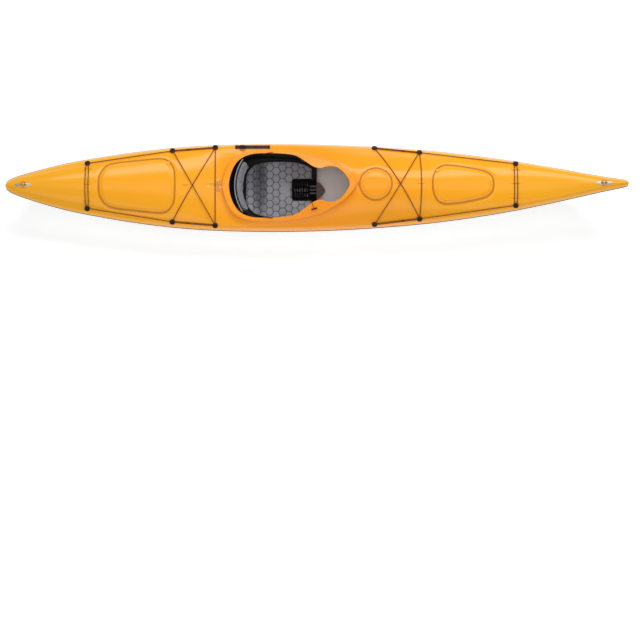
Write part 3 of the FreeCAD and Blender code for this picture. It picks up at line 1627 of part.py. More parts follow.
def main():
    os.makedirs(out_dir, exist_ok=True)
    save(make_hull(), "hull")
    save(make_deck(), "deck")
    save(make_seam_strip(), "seam_strip")
    save(make_coaming(), "coaming")
    hatches = (
        ("stern", stern_hatch_loop, stern_tab),
        ("bow", bow_hatch_loop, bow_tab),
        ("day", day_hatch_loop, day_tab),
    )
    for name, loop, tab in hatches:
        save(hatch_rim(loop), name + "_hatch_rim")
        save(hatch_gasket(loop), name + "_hatch_gasket")
        save(hatch_cover(loop, tab), name + "_hatch_cover")
    save(make_day_pod(), "day_pod")
    cable_way = make_skeg_tube()
    save(cable_way, "skeg_cable_tube")
    save(make_bulkhead(bow_bulkhead_x), "bow_bulkhead")
    save(make_stern_bulkhead(), "stern_bulkhead")
    save(make_skeg_trunk(), "skeg_trunk")
    save(make_skeg_blade(), "skeg_blade")
    save(make_skeg_pin(), "skeg_pin")
    save(make_slider_track(), "slider_track")
    save(make_slider_knob(), "slider_knob")
    save(compound([make_fitting(x, y) for x, y in fittings]), "deck_fittings")
    save(compound([make_screw(x, y) for x, y in fittings]), "deck_screws")
    save(perimeter_lines(bow_fitting_shares, "bow line"), "bow_lines")
    save(perimeter_lines(stern_fitting_shares, "stern line"), "stern_lines")
    save(make_line_clips(), "line_clips")
    save(make_bow_bungees(), "bow_bungees")
    save(make_stern_bungees(), "stern_bungees")
    save(make_end_padeye(bow_padeye_x), "bow_padeye")
    save(make_end_padeye(stern_padeye_x), "stern_padeye")
    save(make_rear_padeye(), "rear_padeye")
    save(make_seat_pan(), "seat_pan")
    save(make_seat_pad(), "seat_pad")
    save(make_seat_ladder(), "seat_ladder")
    save(make_seat_webbing(), "seat_webbing")
    save(make_seat_rivets(), "seat_rivets")
    save(make_side_panels(), "seat_side_panels")
    save(make_seat_feet(), "seat_feet")
    save(make_backrest_shell(), "backrest_shell")
    save(make_backrest_pad(), "backrest_pad")
    save(make_backrest_band(), "backrest_band")
    save(make_backrest_pins(), "backrest_pins")
    rail = make_foot_rail()
    save(rail, "foot_rail_port")
    save(mirror(rail), "foot_rail_starboard")
    pedal = make_foot_pedal()
    save(pedal, "foot_pedal_port")
    save(mirror(pedal), "foot_pedal_starboard")
    save(make_pull_handle(), "seat_pull_handle")
    save(make_pull_cord(), "seat_pull_cord")


main()
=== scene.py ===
import math
import bpy
import bmesh
import numpy as np
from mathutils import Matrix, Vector


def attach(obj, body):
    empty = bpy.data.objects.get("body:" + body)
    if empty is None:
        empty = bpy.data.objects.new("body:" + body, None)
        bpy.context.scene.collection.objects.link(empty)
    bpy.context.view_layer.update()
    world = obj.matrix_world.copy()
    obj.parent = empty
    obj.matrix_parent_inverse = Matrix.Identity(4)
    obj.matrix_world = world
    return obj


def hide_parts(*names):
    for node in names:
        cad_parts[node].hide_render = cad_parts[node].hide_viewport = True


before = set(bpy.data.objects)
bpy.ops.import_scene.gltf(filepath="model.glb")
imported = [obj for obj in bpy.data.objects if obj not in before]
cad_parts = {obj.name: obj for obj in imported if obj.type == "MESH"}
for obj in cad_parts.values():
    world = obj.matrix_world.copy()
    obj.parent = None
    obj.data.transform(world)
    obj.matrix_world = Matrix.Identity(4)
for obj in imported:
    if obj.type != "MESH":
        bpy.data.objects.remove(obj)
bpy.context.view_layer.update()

MM = 0.001
LENGTH, BEAM, HEIGHT = 4.270, 0.615, 0.474
SHEET = 0.0042
HALF_LENGTH = LENGTH / 2 - 0.003
HALF_BEAM = BEAM / 2 - 0.003
SEAM_GAP = 0.00095
BOW_EYE_X, STERN_EYE_X = 1.966, -2.010
RECESS_REAR, RECESS_FRONT, RECESS_FLOOR = -0.5605, -0.3135, 0.258

# The boat's table of offsets, as in the source: place along the half-length, half-breadth,
# keel, sheer and crown heights, how vee-shaped the bottom is, shoulder rise and breadth
OFFSETS = np.array((
    (1.000, 0.023, 0.852, 0.895, 1.000, 1.00, 0.060, 0.80),
    (1.000, 0.050, 0.844, 0.895, 1.000, 1.00, 0.060, 0.80),
    (0.992, 0.072, 0.810, 0.890, 0.998, 1.00, 0.065, 0.80),
    (0.977, 0.095, 0.745, 0.873, 0.994, 1.00, 0.080, 0.80),
    (0.952, 0.125, 0.633, 0.844, 0.985, 1.00, 0.095, 0.80),
    (0.919, 0.168, 0.483, 0.812, 0.962, 1.00, 0.110, 0.80),
    (0.884, 0.220, 0.327, 0.776, 0.941, 1.00, 0.125, 0.81),
    (0.844, 0.279, 0.205, 0.743, 0.921, 0.95, 0.135, 0.82),
    (0.797, 0.348, 0.158, 0.709, 0.895, 0.85, 0.145, 0.83),
    (0.731, 0.440, 0.137, 0.660, 0.867, 0.70, 0.155, 0.84),
    (0.647, 0.552, 0.120, 0.605, 0.838, 0.52, 0.165, 0.85),
    (0.553, 0.660, 0.099, 0.553, 0.823, 0.36, 0.175, 0.86),
    (0.445, 0.765, 0.076, 0.502, 0.840, 0.22, 0.180, 0.87),
    (0.328, 0.854, 0.051, 0.462, 0.873, 0.12, 0.185, 0.88),
    (0.206, 0.918, 0.027, 0.424, 0.903, 0.05, 0.185, 0.90),
    (0.084, 0.967, 0.006, 0.397, 0.854, 0.00, 0.200, 0.91),
    (-0.038, 0.994, -0.004, 0.384, 0.766, 0.00, 0.215, 0.92),
    (-0.160, 1.000, -0.005, 0.378, 0.722, 0.00, 0.180, 0.93),
    (-0.272, 0.985, -0.005, 0.380, 0.600, 0.00, 0.172, 0.92),
    (-0.320, 0.972, -0.005, 0.382, 0.633, 0.00, 0.172, 0.91),
    (-0.366, 0.959, -0.005, 0.386, 0.684, 0.00, 0.172, 0.90),
    (-0.460, 0.912, -0.005, 0.401, 0.714, 0.03, 0.170, 0.885),
    (-0.553, 0.836, -0.004, 0.420, 0.731, 0.08, 0.162, 0.87),
    (-0.647, 0.740, -0.002, 0.443, 0.739, 0.17, 0.153, 0.855),
    (-0.732, 0.635, 0.008, 0.470, 0.743, 0.30, 0.142, 0.84),
    (-0.797, 0.549, 0.034, 0.496, 0.745, 0.42, 0.132, 0.83),
    (-0.854, 0.447, 0.063, 0.527, 0.745, 0.55, 0.120, 0.82),
    (-0.900, 0.355, 0.072, 0.555, 0.741, 0.70, 0.108, 0.81),
    (-0.931, 0.286, 0.135, 0.576, 0.738, 0.85, 0.098, 0.80),
    (-0.957, 0.230, 0.287, 0.593, 0.734, 0.95, 0.086, 0.80),
    (-0.978, 0.174, 0.418, 0.605, 0.728, 1.00, 0.072, 0.80),
    (-0.993, 0.118, 0.527, 0.614, 0.724, 1.00, 0.060, 0.80),
    (-1.000, 0.072, 0.570, 0.618, 0.722, 1.00, 0.055, 0.80),
    (-1.000, 0.023, 0.582, 0.618, 0.722, 1.00, 0.055, 0.80),
))
SOFT_BOTTOM = ((0, 0), (0.19, 0.004), (0.42, 0.04), (0.65, 0.13), (0.845, 0.283), (0.945, 0.50),
               (0.985, 0.75), (1, 1))
VEE_BOTTOM = ((0, 0), (0.10, 0.085), (0.24, 0.24), (0.40, 0.43), (0.58, 0.61), (0.75, 0.77),
              (0.90, 0.90), (1, 1))
SIDE_RISE = (0, 0.25, 0.64, 0.96)
SIDE_BREADTH = (0, 0.04, 0.43, 1.2)
TOP_RISE = (0.42, 0.78, 0.96, 1)
TOP_BREADTH = (0.75, 0.46, 0.20, 0)


# Smooth surfaces from the table

def basis(count, samples):
    """Rows of a clamped cubic B-spline's weights, so that a column of poles becomes a curve."""
    knots = np.concatenate([[0] * 3, np.arange(count - 2), [count - 3] * 3]).astype(float)
    u = np.linspace(0, count - 3, samples)
    u[-1] -= 1e-9
    weights = np.zeros((samples, len(knots) - 1))
    for i in range(len(knots) - 1):
        weights[:, i] = (u >= knots[i]) & (u < knots[i + 1])
    for p in range(1, 4):
        for i in range(len(knots) - 1 - p):
            left = knots[i + p] - knots[i]
            right = knots[i + p + 1] - knots[i + 1]
            a = (u - knots[i]) / left * weights[:, i] if left else 0
            b = (knots[i + p + 1] - u) / right * weights[:, i + 1] if right else 0
            weights[:, i] = a + b
    return weights[:, :count]


def between(a, b, c, d, t):
    """A point of a Catmull-Rom curve between b and c."""
    return 0.5 * (2 * b + (c - a) * t + (2 * a - 5 * b + 4 * c - d) * t**2 + (3 * b - a - 3 * c + d) * t**3)


def smooth_across(net, per_span):
    """Smooth curves across each row of points, the same number of points in each span."""
    first = 2 * net[:, :1] - net[:, 1:2]
    last = 2 * net[:, -1:] - net[:, -2:-1]
    p = np.concatenate([first, net, last], axis=1)
    pieces = []
    for k in range(net.shape[1] - 1):
        a, b, c, d = p[:, k], p[:, k + 1], p[:, k + 2], p[:, k + 3]
        for t in np.arange(per_span) / per_span:
            pieces.append(between(a, b, c, d, t))
    pieces.append(net[:, -1])
    return np.stack(pieces, axis=1)


def hull_rows():
    x = OFFSETS[:, 0] * HALF_LENGTH
    half = OFFSETS[:, 1] * HALF_BEAM
    keel = OFFSETS[:, 2] * HEIGHT
    top = OFFSETS[:, 3] * HEIGHT - SEAM_GAP
    vee = OFFSETS[:, 5]
    columns = []
    for (so, su), (vo, vu) in zip(SOFT_BOTTOM, VEE_BOTTOM):
        out = so + (vo - so) * vee
        up = su + (vu - su) * vee
        columns.append(np.stack([x, out * half, keel + up * (top - keel)], axis=1))
    return both_sides(columns)


def deck_rows():
    x = OFFSETS[:, 0] * HALF_LENGTH
    half = OFFSETS[:, 1] * HALF_BEAM
    sheer = OFFSETS[:, 3] * HEIGHT
    base = sheer + SEAM_GAP
    crown = OFFSETS[:, 4] * HEIGHT
    shoulder_z = sheer + OFFSETS[:, 6] * HEIGHT
    shoulder = OFFSETS[:, 7]
    columns = []
    for up, drawn in zip(SIDE_RISE, SIDE_BREADTH):
        out = 1 - drawn * (1 - shoulder)
        columns.append(np.stack([x, out * half, base + up * (shoulder_z - base)], axis=1))
    for up, out in zip(TOP_RISE, TOP_BREADTH):
        z = shoulder_z + up * (crown - shoulder_z)
        columns.append(np.stack([x, out * shoulder * half, z], axis=1))
    return both_sides(columns[::-1])


def both_sides(columns):
    """Columns from the centre line out to port become columns from starboard across to port."""
    flip = np.array((1, -1, 1))
    return np.stack([c * flip for c in columns[:0:-1]] + columns, axis=1)


def smooth_skin(rows, samples, per_span):
    return smooth_across(np.einsum("uk,kcd->ucd", basis(len(rows), samples), rows), per_span)


DECK = smooth_skin(deck_rows(), 640, 8)
HULL = smooth_skin(hull_rows(), 420, 6)
ROW_X = DECK[:, 0, 0]


def deck_z(x, y):
    """Height of the deck's outer surface over a place in plan."""
    where = float(np.interp(-x, -ROW_X, np.arange(len(ROW_X))))
    i = min(int(where), len(ROW_X) - 2)
    share = where - i
    rows = [np.interp(y, DECK[k, :, 1], DECK[k, :, 2]) for k in (i, i + 1)]
    return float(rows[0] + share * (rows[1] - rows[0]))


def deck_normal(x, y):
    step = 0.004
    dx = (deck_z(x + step, y) - deck_z(x - step, y)) / (2 * step)
    dy = (deck_z(x, y + step) - deck_z(x, y - step)) / (2 * step)
    return Vector((-dx, -dy, 1)).normalized()


def deck_at(x, y, lift=0.0):
    """A place on the deck, moved out along its normal."""
    return Vector((x, y, deck_z(x, y))) + deck_normal(x, y) * lift


def half_at(x):
    return float(np.interp(-x, -OFFSETS[:, 0] * HALF_LENGTH, OFFSETS[:, 1])) * HALF_BEAM


# Mesh helpers

def placed(name, data):
    """A new object in the scene that holds some data."""
    holder = bpy.data.objects.new(name, data)
    bpy.context.scene.collection.objects.link(holder)
    return holder


def make(name, vertices, faces, **kw):
    mesh = bpy.data.meshes.new(name)
    mesh.from_pydata([tuple(v) for v in vertices], [], [tuple(f) for f in faces])
    mesh.update()
    return dress(placed(name, mesh), **kw)


def from_form(name, form, **kw):
    mesh = bpy.data.meshes.new(name)
    form.to_mesh(mesh)
    form.free()
    return dress(placed(name, mesh), **kw)


def dress(piece, body="boat", slot=None, nodes=(), angle=35, look=None):
    """Gives a piece its shading and body, hides the CAD nodes that it stands in for, and paints it; the slot
    is not used.
    """
    shade(piece, angle)
    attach(piece, body)
    if nodes:
        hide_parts(*nodes)
    if look:
        paint(piece, look)
    return piece


def shade(piece, angle=35):
    mesh = piece.data
    mesh.polygons.foreach_set("use_smooth", [True] * len(mesh.polygons))
    mesh.set_sharp_from_angle(angle=math.radians(angle))
    return piece


def grid_faces(rows, columns, wrap_rows=False, wrap_columns=False):
    faces = []
    for i in range(rows if wrap_rows else rows - 1):
        for j in range(columns if wrap_columns else columns - 1):
            k, m = (i + 1) % rows, (j + 1) % columns
            faces.append((i * columns + j, i * columns + m, k * columns + m, k * columns + j))
    return faces


def outward(piece):
    """Turns every face of a closed form outwards."""
    form = bmesh.new()
    form.from_mesh(piece.data)
    bmesh.ops.recalc_face_normals(form, faces=form.faces)
    form.to_mesh(piece.data)
    form.free()
    return piece


def modify(piece, kind, **settings):
    """Adds a modifier and makes its result the piece's own mesh."""
    modifier = piece.modifiers.new(kind, kind)
    for key, value in settings.items():
        setattr(modifier, key, value)
    graph = bpy.context.evaluated_depsgraph_get()
    baked = bpy.data.meshes.new_from_object(piece.evaluated_get(graph))
    piece.modifiers.clear()
    piece.data = baked


def paint(piece, material):
    piece.data.materials.clear()
    piece.data.materials.append(material)
    return piece


def closed_curve(points, count):
    """A smooth closed outline through some points in plan, evenly spaced."""
    p = np.array(points, float)
    dense = []
    n = len(p)
    for i in range(n):
        a, b, c, d = p[i - 1], p[i], p[(i + 1) % n], p[(i + 2) % n]
        for t in np.arange(24) / 24:
            dense.append(between(a, b, c, d, t))
    dense = np.array(dense)
    closed = np.vstack([dense, dense[:1]])
    run = np.concatenate([[0], np.cumsum(np.linalg.norm(np.diff(closed, axis=0), axis=1))])
    at = np.linspace(0, run[-1], count, endpoint=False)
    return np.stack([np.interp(at, run, closed[:, k]) for k in (0, 1)], axis=1)


def mirrored_outline(rear, front, half_width, shares):
    port = [(rear + a * (front - rear), b * half_width) for a, b in shares]
    return port + [(x, -y) for x, y in reversed(port) if y > 0]


def inset_curve(outline, distance):
    """Moves a closed outline in by a distance."""
    along = np.roll(outline, -1, axis=0) - np.roll(outline, 1, axis=0)
    along /= np.linalg.norm(along, axis=1)[:, None]
    inward = np.stack([along[:, 1], -along[:, 0]], axis=1)
    moved = outline + inward * distance
    for _ in range(2):
        moved = (np.roll(moved, 1, axis=0) + 2 * moved + np.roll(moved, -1, axis=0)) / 4
    return moved


def sweep(name, points, radius, segments, closed=False, flat=1.0, **kw):
    """A tube along a smooth run of points, round or flattened, with flat ends."""
    path = [Vector(p) for p in points]
    count = len(path)
    vertices = []
    side = None
    for i, p in enumerate(path):
        if closed:
            along = (path[(i + 1) % count] - path[i - 1]).normalized()
        else:
            along = (path[min(i + 1, count - 1)] - path[max(i - 1, 0)]).normalized()
        if side is None:
            side = along.cross(Vector((0, 0, 1)))
            if side.length < 0.1:
                side = along.cross(Vector((1, 0, 0)))
        side = (side - along * side.dot(along)).normalized()
        up = side.cross(along)
        vertices += [p + side * (radius * c) + up * (radius * flat * s) for c, s in turns(segments)]
    faces = grid_faces(count, segments, wrap_rows=closed, wrap_columns=True)
    if not closed:
        vertices += [path[0], path[-1]]
        first, last = len(vertices) - 2, len(vertices) - 1
        base = (count - 1) * segments
        for k in range(segments):
            m = (k + 1) % segments
            faces.append((first, m, k))
            faces.append((last, base + k, base + m))
    return outward(make(name, vertices, faces, **kw))


def stacked(name, rings, closed=False, capped=False, **kw):
    """A form through rings of points, closed on itself or with capped ends."""
    count = len(rings[0])
    faces = grid_faces(len(rings), count, wrap_rows=closed, wrap_columns=True)
    if capped:
        faces.append(tuple(reversed(range(count))))
        faces.append(tuple(range((len(rings) - 1) * count, len(rings) * count)))
    return outward(make(name, [v for ring in rings for v in ring], faces, **kw))


def turns(count):
    """Cosine and sine of each step round a circle."""
    return [(math.cos(2 * math.pi * k / count), math.sin(2 * math.pi * k / count)) for k in range(count)]


def lathe(name, profile, place, normal, segments=40, **kw):
    """A turned form: pairs of radius and height about an axis."""
    turn = Vector((0, 0, 1)).rotation_difference(normal)
    rings = [[Vector(place) + turn @ Vector((radius * c, radius * s, height)) for c, s in turns(segments)]
             for radius, height in profile]
    return stacked(name, rings, capped=True, **kw)


def joined(name, pieces, **kw):
    """Several pieces become one."""
    form = bmesh.new()
    for piece in pieces:
        form.from_mesh(piece.data)
        bpy.data.objects.remove(piece)
    return from_form(name, form, **kw)


def rounded_block(name, low, high, radius):
    """A block with rounded edges between two corners."""
    form = bmesh.new()
    bmesh.ops.create_cube(form, size=1.0)
    size = Vector(high) - Vector(low)
    centre = (Vector(high) + Vector(low)) / 2
    for v in form.verts:
        v.co = Vector((v.co.x * size.x, v.co.y * size.y, v.co.z * size.z)) + centre
    bmesh.ops.bevel(form, geom=form.edges[:], offset=radius, segments=3, profile=0.5, affect="EDGES")
    return from_form(name, form)


def mirrored(half, *middle):
    """A section's points below its middle, any on the middle, and the same above it."""
    return half + middle + tuple((a, -b) for a, b in reversed(half))


# Materials

def linear(hexed):
    """A screen colour as Blender's own."""
    parts = [int(hexed[i:i + 2], 16) / 255 for i in (0, 2, 4)]
    return tuple(((p + 0.055) / 1.055) ** 2.4 if p > 0.04045 else p / 12.92 for p in parts) + (1.0,)


class Skin:
    """A material's node tree with the few helpers that all the materials share."""

    def __init__(self, name, **settings):
        self.material = bpy.data.materials.new(name)
        self.material.use_nodes = True
        self.nodes = self.material.node_tree.nodes
        self.links = self.material.node_tree.links
        self.shader = self.nodes["Principled BSDF"]
        for key, value in settings.items():
            self.shader.inputs[key.replace("_", " ")].default_value = value
        self.position = self.nodes.new("ShaderNodeTexCoord").outputs["Object"]

    def node(self, kind, **links):
        made = self.nodes.new("ShaderNode" + kind)
        for key, value in links.items():
            socket = made.inputs[int(key[1:])] if key[1:].isdigit() else made.inputs[key.replace("_", " ")]
            if isinstance(value, bpy.types.NodeSocket):
                self.links.new(value, socket)
            else:
                socket.default_value = value
        return made

    def noise(self, scale, detail=3.0, roughness=0.5, vector=None):
        made = self.node("TexNoise", Vector=vector or self.position, Scale=scale, Detail=detail,
                         Roughness=roughness)
        return made.outputs["Fac"]

    def math(self, operation, a, b=0.0):
        made = self.node("Math", _0=a, _1=b)
        made.operation = operation
        return made.outputs[0]

    def ramp(self, value, stops):
        """Colours along a value; those in letters are screen colours."""
        made = self.node("ValToRGB", Fac=value)
        elements = made.color_ramp.elements
        while len(elements) < len(stops):
            elements.new(0.5)
        for element, (at, colour) in zip(elements, stops):
            element.position = at
            element.color = linear(colour) if isinstance(colour, str) else colour
        return made.outputs["Color"]

    def value(self, name):
        """A value that the mesh holds at each of its points."""
        made = self.node("Attribute")
        made.attribute_name = name
        return made.outputs["Fac"]

    def axis(self, name):
        return self.node("SeparateXYZ", Vector=self.position).outputs[name]

    def mix(self, factor, a, b):
        made = self.node("Mix", _0=factor)
        made.data_type = "RGBA"
        self.links.new(a, made.inputs[6])
        made.inputs[7].default_value = linear(b)
        return made.outputs[2]

    def colour(self, value):
        self.links.new(value, self.shader.inputs["Base Color"])

    def tones(self, value, low, high, start=0.3, end=0.7):
        """Colours the surface from one screen colour to another along a value."""
        self.colour(self.ramp(value, ((start, low), (end, high))))

    def rough(self, value, low, high):
        made = self.node("MapRange", Value=value, To_Min=low, To_Max=high)
        self.links.new(made.outputs[0], self.shader.inputs["Roughness"])

    def bump(self, height, distance, strength):
        made = self.node("Bump", Height=height, Distance=distance, Strength=strength)
        self.links.new(made.outputs["Normal"], self.shader.inputs["Normal"])


def grey(value):
    return (value, value, value, 1.0)


def deck_plastic(name, warm=0.0):
    """Glossy sheet that goes from golden at the ends to orange amidships."""
    skin = Skin(name, Coat_Weight=0.12, Coat_Roughness=0.06, Specular_IOR_Level=0.3)
    along = skin.math("DIVIDE", skin.math("ABSOLUTE", skin.axis("X")), HALF_LENGTH)
    base = skin.ramp(along, ((0.0, "FF9B12"), (0.22, "FFA212"), (0.42, "FFA90F"),
                             (0.75, "FAAB12"), (1.0, "F5AA16")))
    deep = skin.mix(warm, base, "FF8600")
    skin.colour(skin.mix(skin.math("MULTIPLY", skin.noise(2.6, 2.0), 0.14), deep, "FFC020"))
    skin.rough(skin.noise(30.0, 4.0), 0.16, 0.27)
    fine = skin.math("MULTIPLY", skin.noise(420.0, 2.0), 0.25)
    skin.bump(skin.math("ADD", fine, skin.noise(9.0, 2.0)), 0.0006, 0.35)
    return skin.material


def white_plastic():
    skin = Skin("hull_white", Coat_Weight=0.5, Coat_Roughness=0.08)
    skin.tones(skin.noise(3.0, 3.0), "E9E8E6", "F4F4F3")
    skin.rough(skin.noise(26.0, 4.0), 0.18, 0.32)
    scuff = skin.math("MULTIPLY", skin.noise(160.0, 6.0, 0.7), 0.2)
    skin.bump(skin.math("ADD", scuff, skin.noise(8.0)), 0.0006, 0.3)
    return skin.material


def moulded(name, low, high, rough, scale=260.0, depth=0.0004, gloss=0.5):
    """Matte moulded plastic or rubber with a fine grain."""
    skin = Skin(name, Specular_IOR_Level=gloss)
    grain = skin.noise(scale, 5.0, 0.6)
    skin.tones(skin.noise(18.0, 3.0), low, high)
    skin.rough(grain, *rough)
    skin.bump(grain, depth, 0.5)
    return skin.material


def steel(name, low, high, rough):
    skin = Skin(name, Metallic=1.0)
    brushed = skin.node("Mapping", Vector=skin.position, Scale=(40.0, 600.0, 40.0)).outputs[0]
    streak = skin.noise(1.0, 4.0, 0.6, brushed)
    skin.tones(streak, low, high)
    skin.rough(streak, *rough)
    skin.bump(streak, 0.0001, 0.3)
    return skin.material


def cord_cloth(name, low, high):
    """Braided sheath: a fine diagonal weave on thin cords."""
    skin = Skin(name, Roughness=0.7)
    weave = skin.node("TexWave", Vector=skin.position, Scale=260.0, Distortion=1.5, Detail=1.0)
    weave.wave_type = "BANDS"
    weave.bands_direction = "DIAGONAL"
    across = skin.node("TexVoronoi", Vector=skin.position, Scale=520.0)
    both = skin.math("MULTIPLY", weave.outputs["Fac"], across.outputs["Distance"])
    skin.tones(both, low, high, 0.1, 0.6)
    skin.bump(both, 0.0005, 0.8)
    return skin.material


def foam(name):
    """Foam whose studs take their tone from the mesh's shade values, and whose grooves get painted shade from
    its groove values.
    """
    skin = Skin(name, Roughness=0.8, Sheen_Weight=0.25)
    pores = skin.noise(900.0, 3.0, 0.7)
    # The studs' tone and a painted shade band come in through the shade value, with the pores.
    tone_with_painted_shade = skin.math("ADD", skin.math("MULTIPLY", pores, 0.3), skin.value("shade"))
    stud = skin.ramp(tone_with_painted_shade, ((0.1, "606066"), (1.0, "AEAEB6")))
    # Painted shade: the groove value mixes the studs' colour towards near-black in the grooves.
    skin.colour(skin.mix(skin.value("painted_groove_shade"), stud, "141418"))
    skin.bump(pores, 0.0004, 0.5)
    return skin.material


def cloth(name, low, high, scale, sheen):
    """Woven cloth: crossed threads with soft cloudy wear."""
    skin = Skin(name, Roughness=0.85, Sheen_Weight=sheen)
    waves = []
    for way in ("Y", "Z"):
        wave = skin.node("TexWave", Vector=skin.position, Scale=scale)
        wave.bands_direction = way
        waves.append(wave.outputs["Fac"])
    thread = skin.math("MULTIPLY", *waves)
    cloud = skin.math("MULTIPLY", skin.noise(35.0, 4.0), 0.7)
    skin.tones(skin.math("ADD", cloud, skin.math("MULTIPLY", thread, 0.3)), low, high, 0.25, 0.75)
    skin.bump(skin.math("ADD", thread, skin.noise(60.0, 3.0)), 0.0007, 0.6)
    return skin.material


DECK_PLASTIC = deck_plastic("deck_orange")
RIM_PLASTIC = deck_plastic("rim_orange", 0.35)
LID_PLASTIC = deck_plastic("lid_orange", 0.05)
# The hatch channels are moulded in the deck's own plastic; this darker, browner orange is painted shade in
# the channels.
PAINTED_SHADE_GROOVE = moulded("groove_orange_painted_shade", "C67E0C", "D08810", (0.35, 0.5), 90.0, 0.0003)
WHITE = white_plastic()
BLACK = moulded("black_moulded", "0B0B0C", "151517", (0.35, 0.55))
KNOB = moulded("black_knob", "080504", "120C0A", (0.35, 0.5), 500.0, 0.0002, 0.3)
RUBBER = moulded("black_trim", "0A0A0A", "161616", (0.35, 0.5), 120.0, 0.0003)
SHELL = moulded("black_sheet", "030303", "0A0A0B", (0.5, 0.7), 700.0, 0.0003, 0.25)
LADDER = moulded("ladder_black", "020202", "060607", (0.6, 0.8), 700.0, 0.0003, 0.1)
TRACK = moulded("track_strip", "4A3A1E", "5E4A26", (0.35, 0.5), 200.0, 0.0002)
FIN = moulded("fin_plastic", "18181A", "26262A", (0.35, 0.5), 150.0, 0.0002)
PANEL = moulded("bulkhead_foam", "D6D5D0", "E6E5E1", (0.6, 0.8), 300.0, 0.0006)
BLOCK = moulded("block_foam", "2B2B2D", "3A3A3C", (0.75, 0.9), 600.0, 0.0008)
STEEL = steel("polished_steel", "C9C9CC", "E8E8EA", (0.12, 0.3))
SATIN = steel("satin_steel", "B4AC9E", "D2CABC", (0.25, 0.4))
CORD = cord_cloth("braided_cord", "4E2008", "8A4216")
WEB = cloth("grey_strap", "505056", "68686E", 700.0, 0.2)
TONGUE = moulded("brown_grey_sheet", "7E6A6A", "948080", (0.45, 0.6), 200.0, 0.0002)
FOAM = foam("studded_foam")
BACK_CLOTH = cloth("backrest_cloth", "6D6D73", "8F8F96", 500.0, 0.5)
BAND_CLOTH = cloth("backrest_band", "8E9096", "A9ABB1", 500.0, 0.5)

# CAD nodes that keep their own shape get their surfaces here
KEPT = {
    "stern_hatch_gasket": RUBBER, "bow_hatch_gasket": RUBBER, "day_hatch_gasket": RUBBER,
    "day_pod": WHITE, "skeg_cable_tube": RUBBER, "bow_bulkhead": PANEL, "stern_bulkhead": PANEL,
    "skeg_trunk": WHITE, "skeg_pin": STEEL, "deck_screws": KNOB, "seat_pan": SHELL, "seat_rivets": KNOB,
    "seat_side_panels": SHELL, "seat_feet": BLOCK, "backrest_shell": SHELL, "backrest_pins": STEEL,
    "foot_rail_port": BLACK, "foot_rail_starboard": BLACK, "foot_pedal_port": BLACK,
    "foot_pedal_starboard": BLACK, "skeg_blade": FIN,
}
for node, material in KEPT.items():
    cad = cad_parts[node]
    paint(cad, material)
    shade(cad, 30)


# Shells

# The shallow moulded hollows under the cords: x, y, length, width, depth
HOLLOWS = [(x, y, 0.095, 0.012, 0.0085)
           for x, half in ((1.371, 0.1), (-1.573, 0.112)) for y in (-half, 0.0, half)]
HOLLOWS += [(x, 0.0, 0.09, 0.012, 0.007) for x in (0.72, 0.572, -0.90)] + [(-0.70, 0.0, 0.17, 0.034, 0.009)]


def bulge(outline, width):
    """How near each deck point is to an outline in plan: 1 on it, 0 at a width away."""
    flat = DECK[:, :, :2].reshape(-1, 2)
    near = np.full(len(flat), 9.0)
    for p in outline:
        near = np.minimum(near, np.hypot(flat[:, 0] - p[0], flat[:, 1] - p[1]))
    return np.clip(1 - near / width, 0, 1).reshape(DECK.shape[:2])


RIM_LINE = closed_curve(mirrored_outline(-0.645, 0.279, 0.246, (
    (0, 0), (0.05, 0.62), (0.13, 0.89), (0.26, 1.0), (0.50, 0.99), (0.70, 0.84), (0.83, 0.63),
    (0.94, 0.34), (1, 0))), 240)
OPENING_LINE = closed_curve(mirrored_outline(-0.597, 0.232, 0.222, (
    (0, 0), (0.03, 0.50), (0.095, 0.83), (0.20, 0.985), (0.36, 1.0), (0.49, 0.965), (0.56, 0.90),
    (0.63, 0.73), (0.70, 0.55), (0.76, 0.49), (0.82, 0.55), (0.89, 0.52), (0.955, 0.33), (1, 0))), 240)
DAY_X, DAY_RADIUS, DAY_TAB_RADIUS, DAY_TAB_TURN = 0.411, 0.115, 0.094, math.radians(117)
HATCHES = {
    "stern": closed_curve(mirrored_outline(-1.497, -0.966, 0.193, (
        (0, 0), (0.015, 0.38), (0.09, 0.70), (0.22, 0.84), (0.50, 0.93), (0.78, 1.0), (0.90, 0.93),
        (0.975, 0.68), (1, 0.34))), 180),
    "bow": closed_curve(mirrored_outline(0.796, 1.223, 0.141, (
        (0, 0), (0.015, 0.42), (0.075, 0.78), (0.18, 0.97), (0.32, 0.98), (0.60, 0.86), (0.85, 0.68),
        (0.95, 0.48), (0.992, 0.25), (1, 0))), 180),
    "day": np.array([(DAY_X - DAY_RADIUS * c, DAY_RADIUS * s) for c, s in turns(120)]),
}


def oblong(rear, front, starboard, port):
    return np.array([(rear, starboard), (front, starboard), (front, port), (rear, port)])


def cut(piece, outlines):
    """Cuts upright holes with some outlines in plan through a piece."""
    vertices, faces = [], []
    for outline in outlines:
        n, base = len(outline), len(vertices)
        vertices += [(x, y, -0.1) for x, y in outline] + [(x, y, 0.7) for x, y in outline]
        for k in range(n):
            m = (k + 1) % n
            faces.append((base + k, base + m, base + n + m, base + n + k))
        faces.append(tuple(base + k for k in reversed(range(n))))
        faces.append(tuple(base + n + k for k in range(n)))
    mesh = bpy.data.meshes.new("cutter")
    mesh.from_pydata(vertices, [], faces)
    cutter = outward(placed("cutter", mesh))
    modify(piece, "BOOLEAN", object=cutter, operation="DIFFERENCE", solver="EXACT")
    bpy.data.objects.remove(cutter)


def thicken(piece, thickness):
    modify(piece, "SOLIDIFY", thickness=thickness, offset=-1)


def facing(piece, way=1):
    """Turns an open skin's faces so that most of them look up, or down where the way is -1."""
    votes = sum(1 if f.normal.z * way > 0 else -1 for f in piece.data.polygons)
    if votes < 0:
        piece.data.flip_normals()


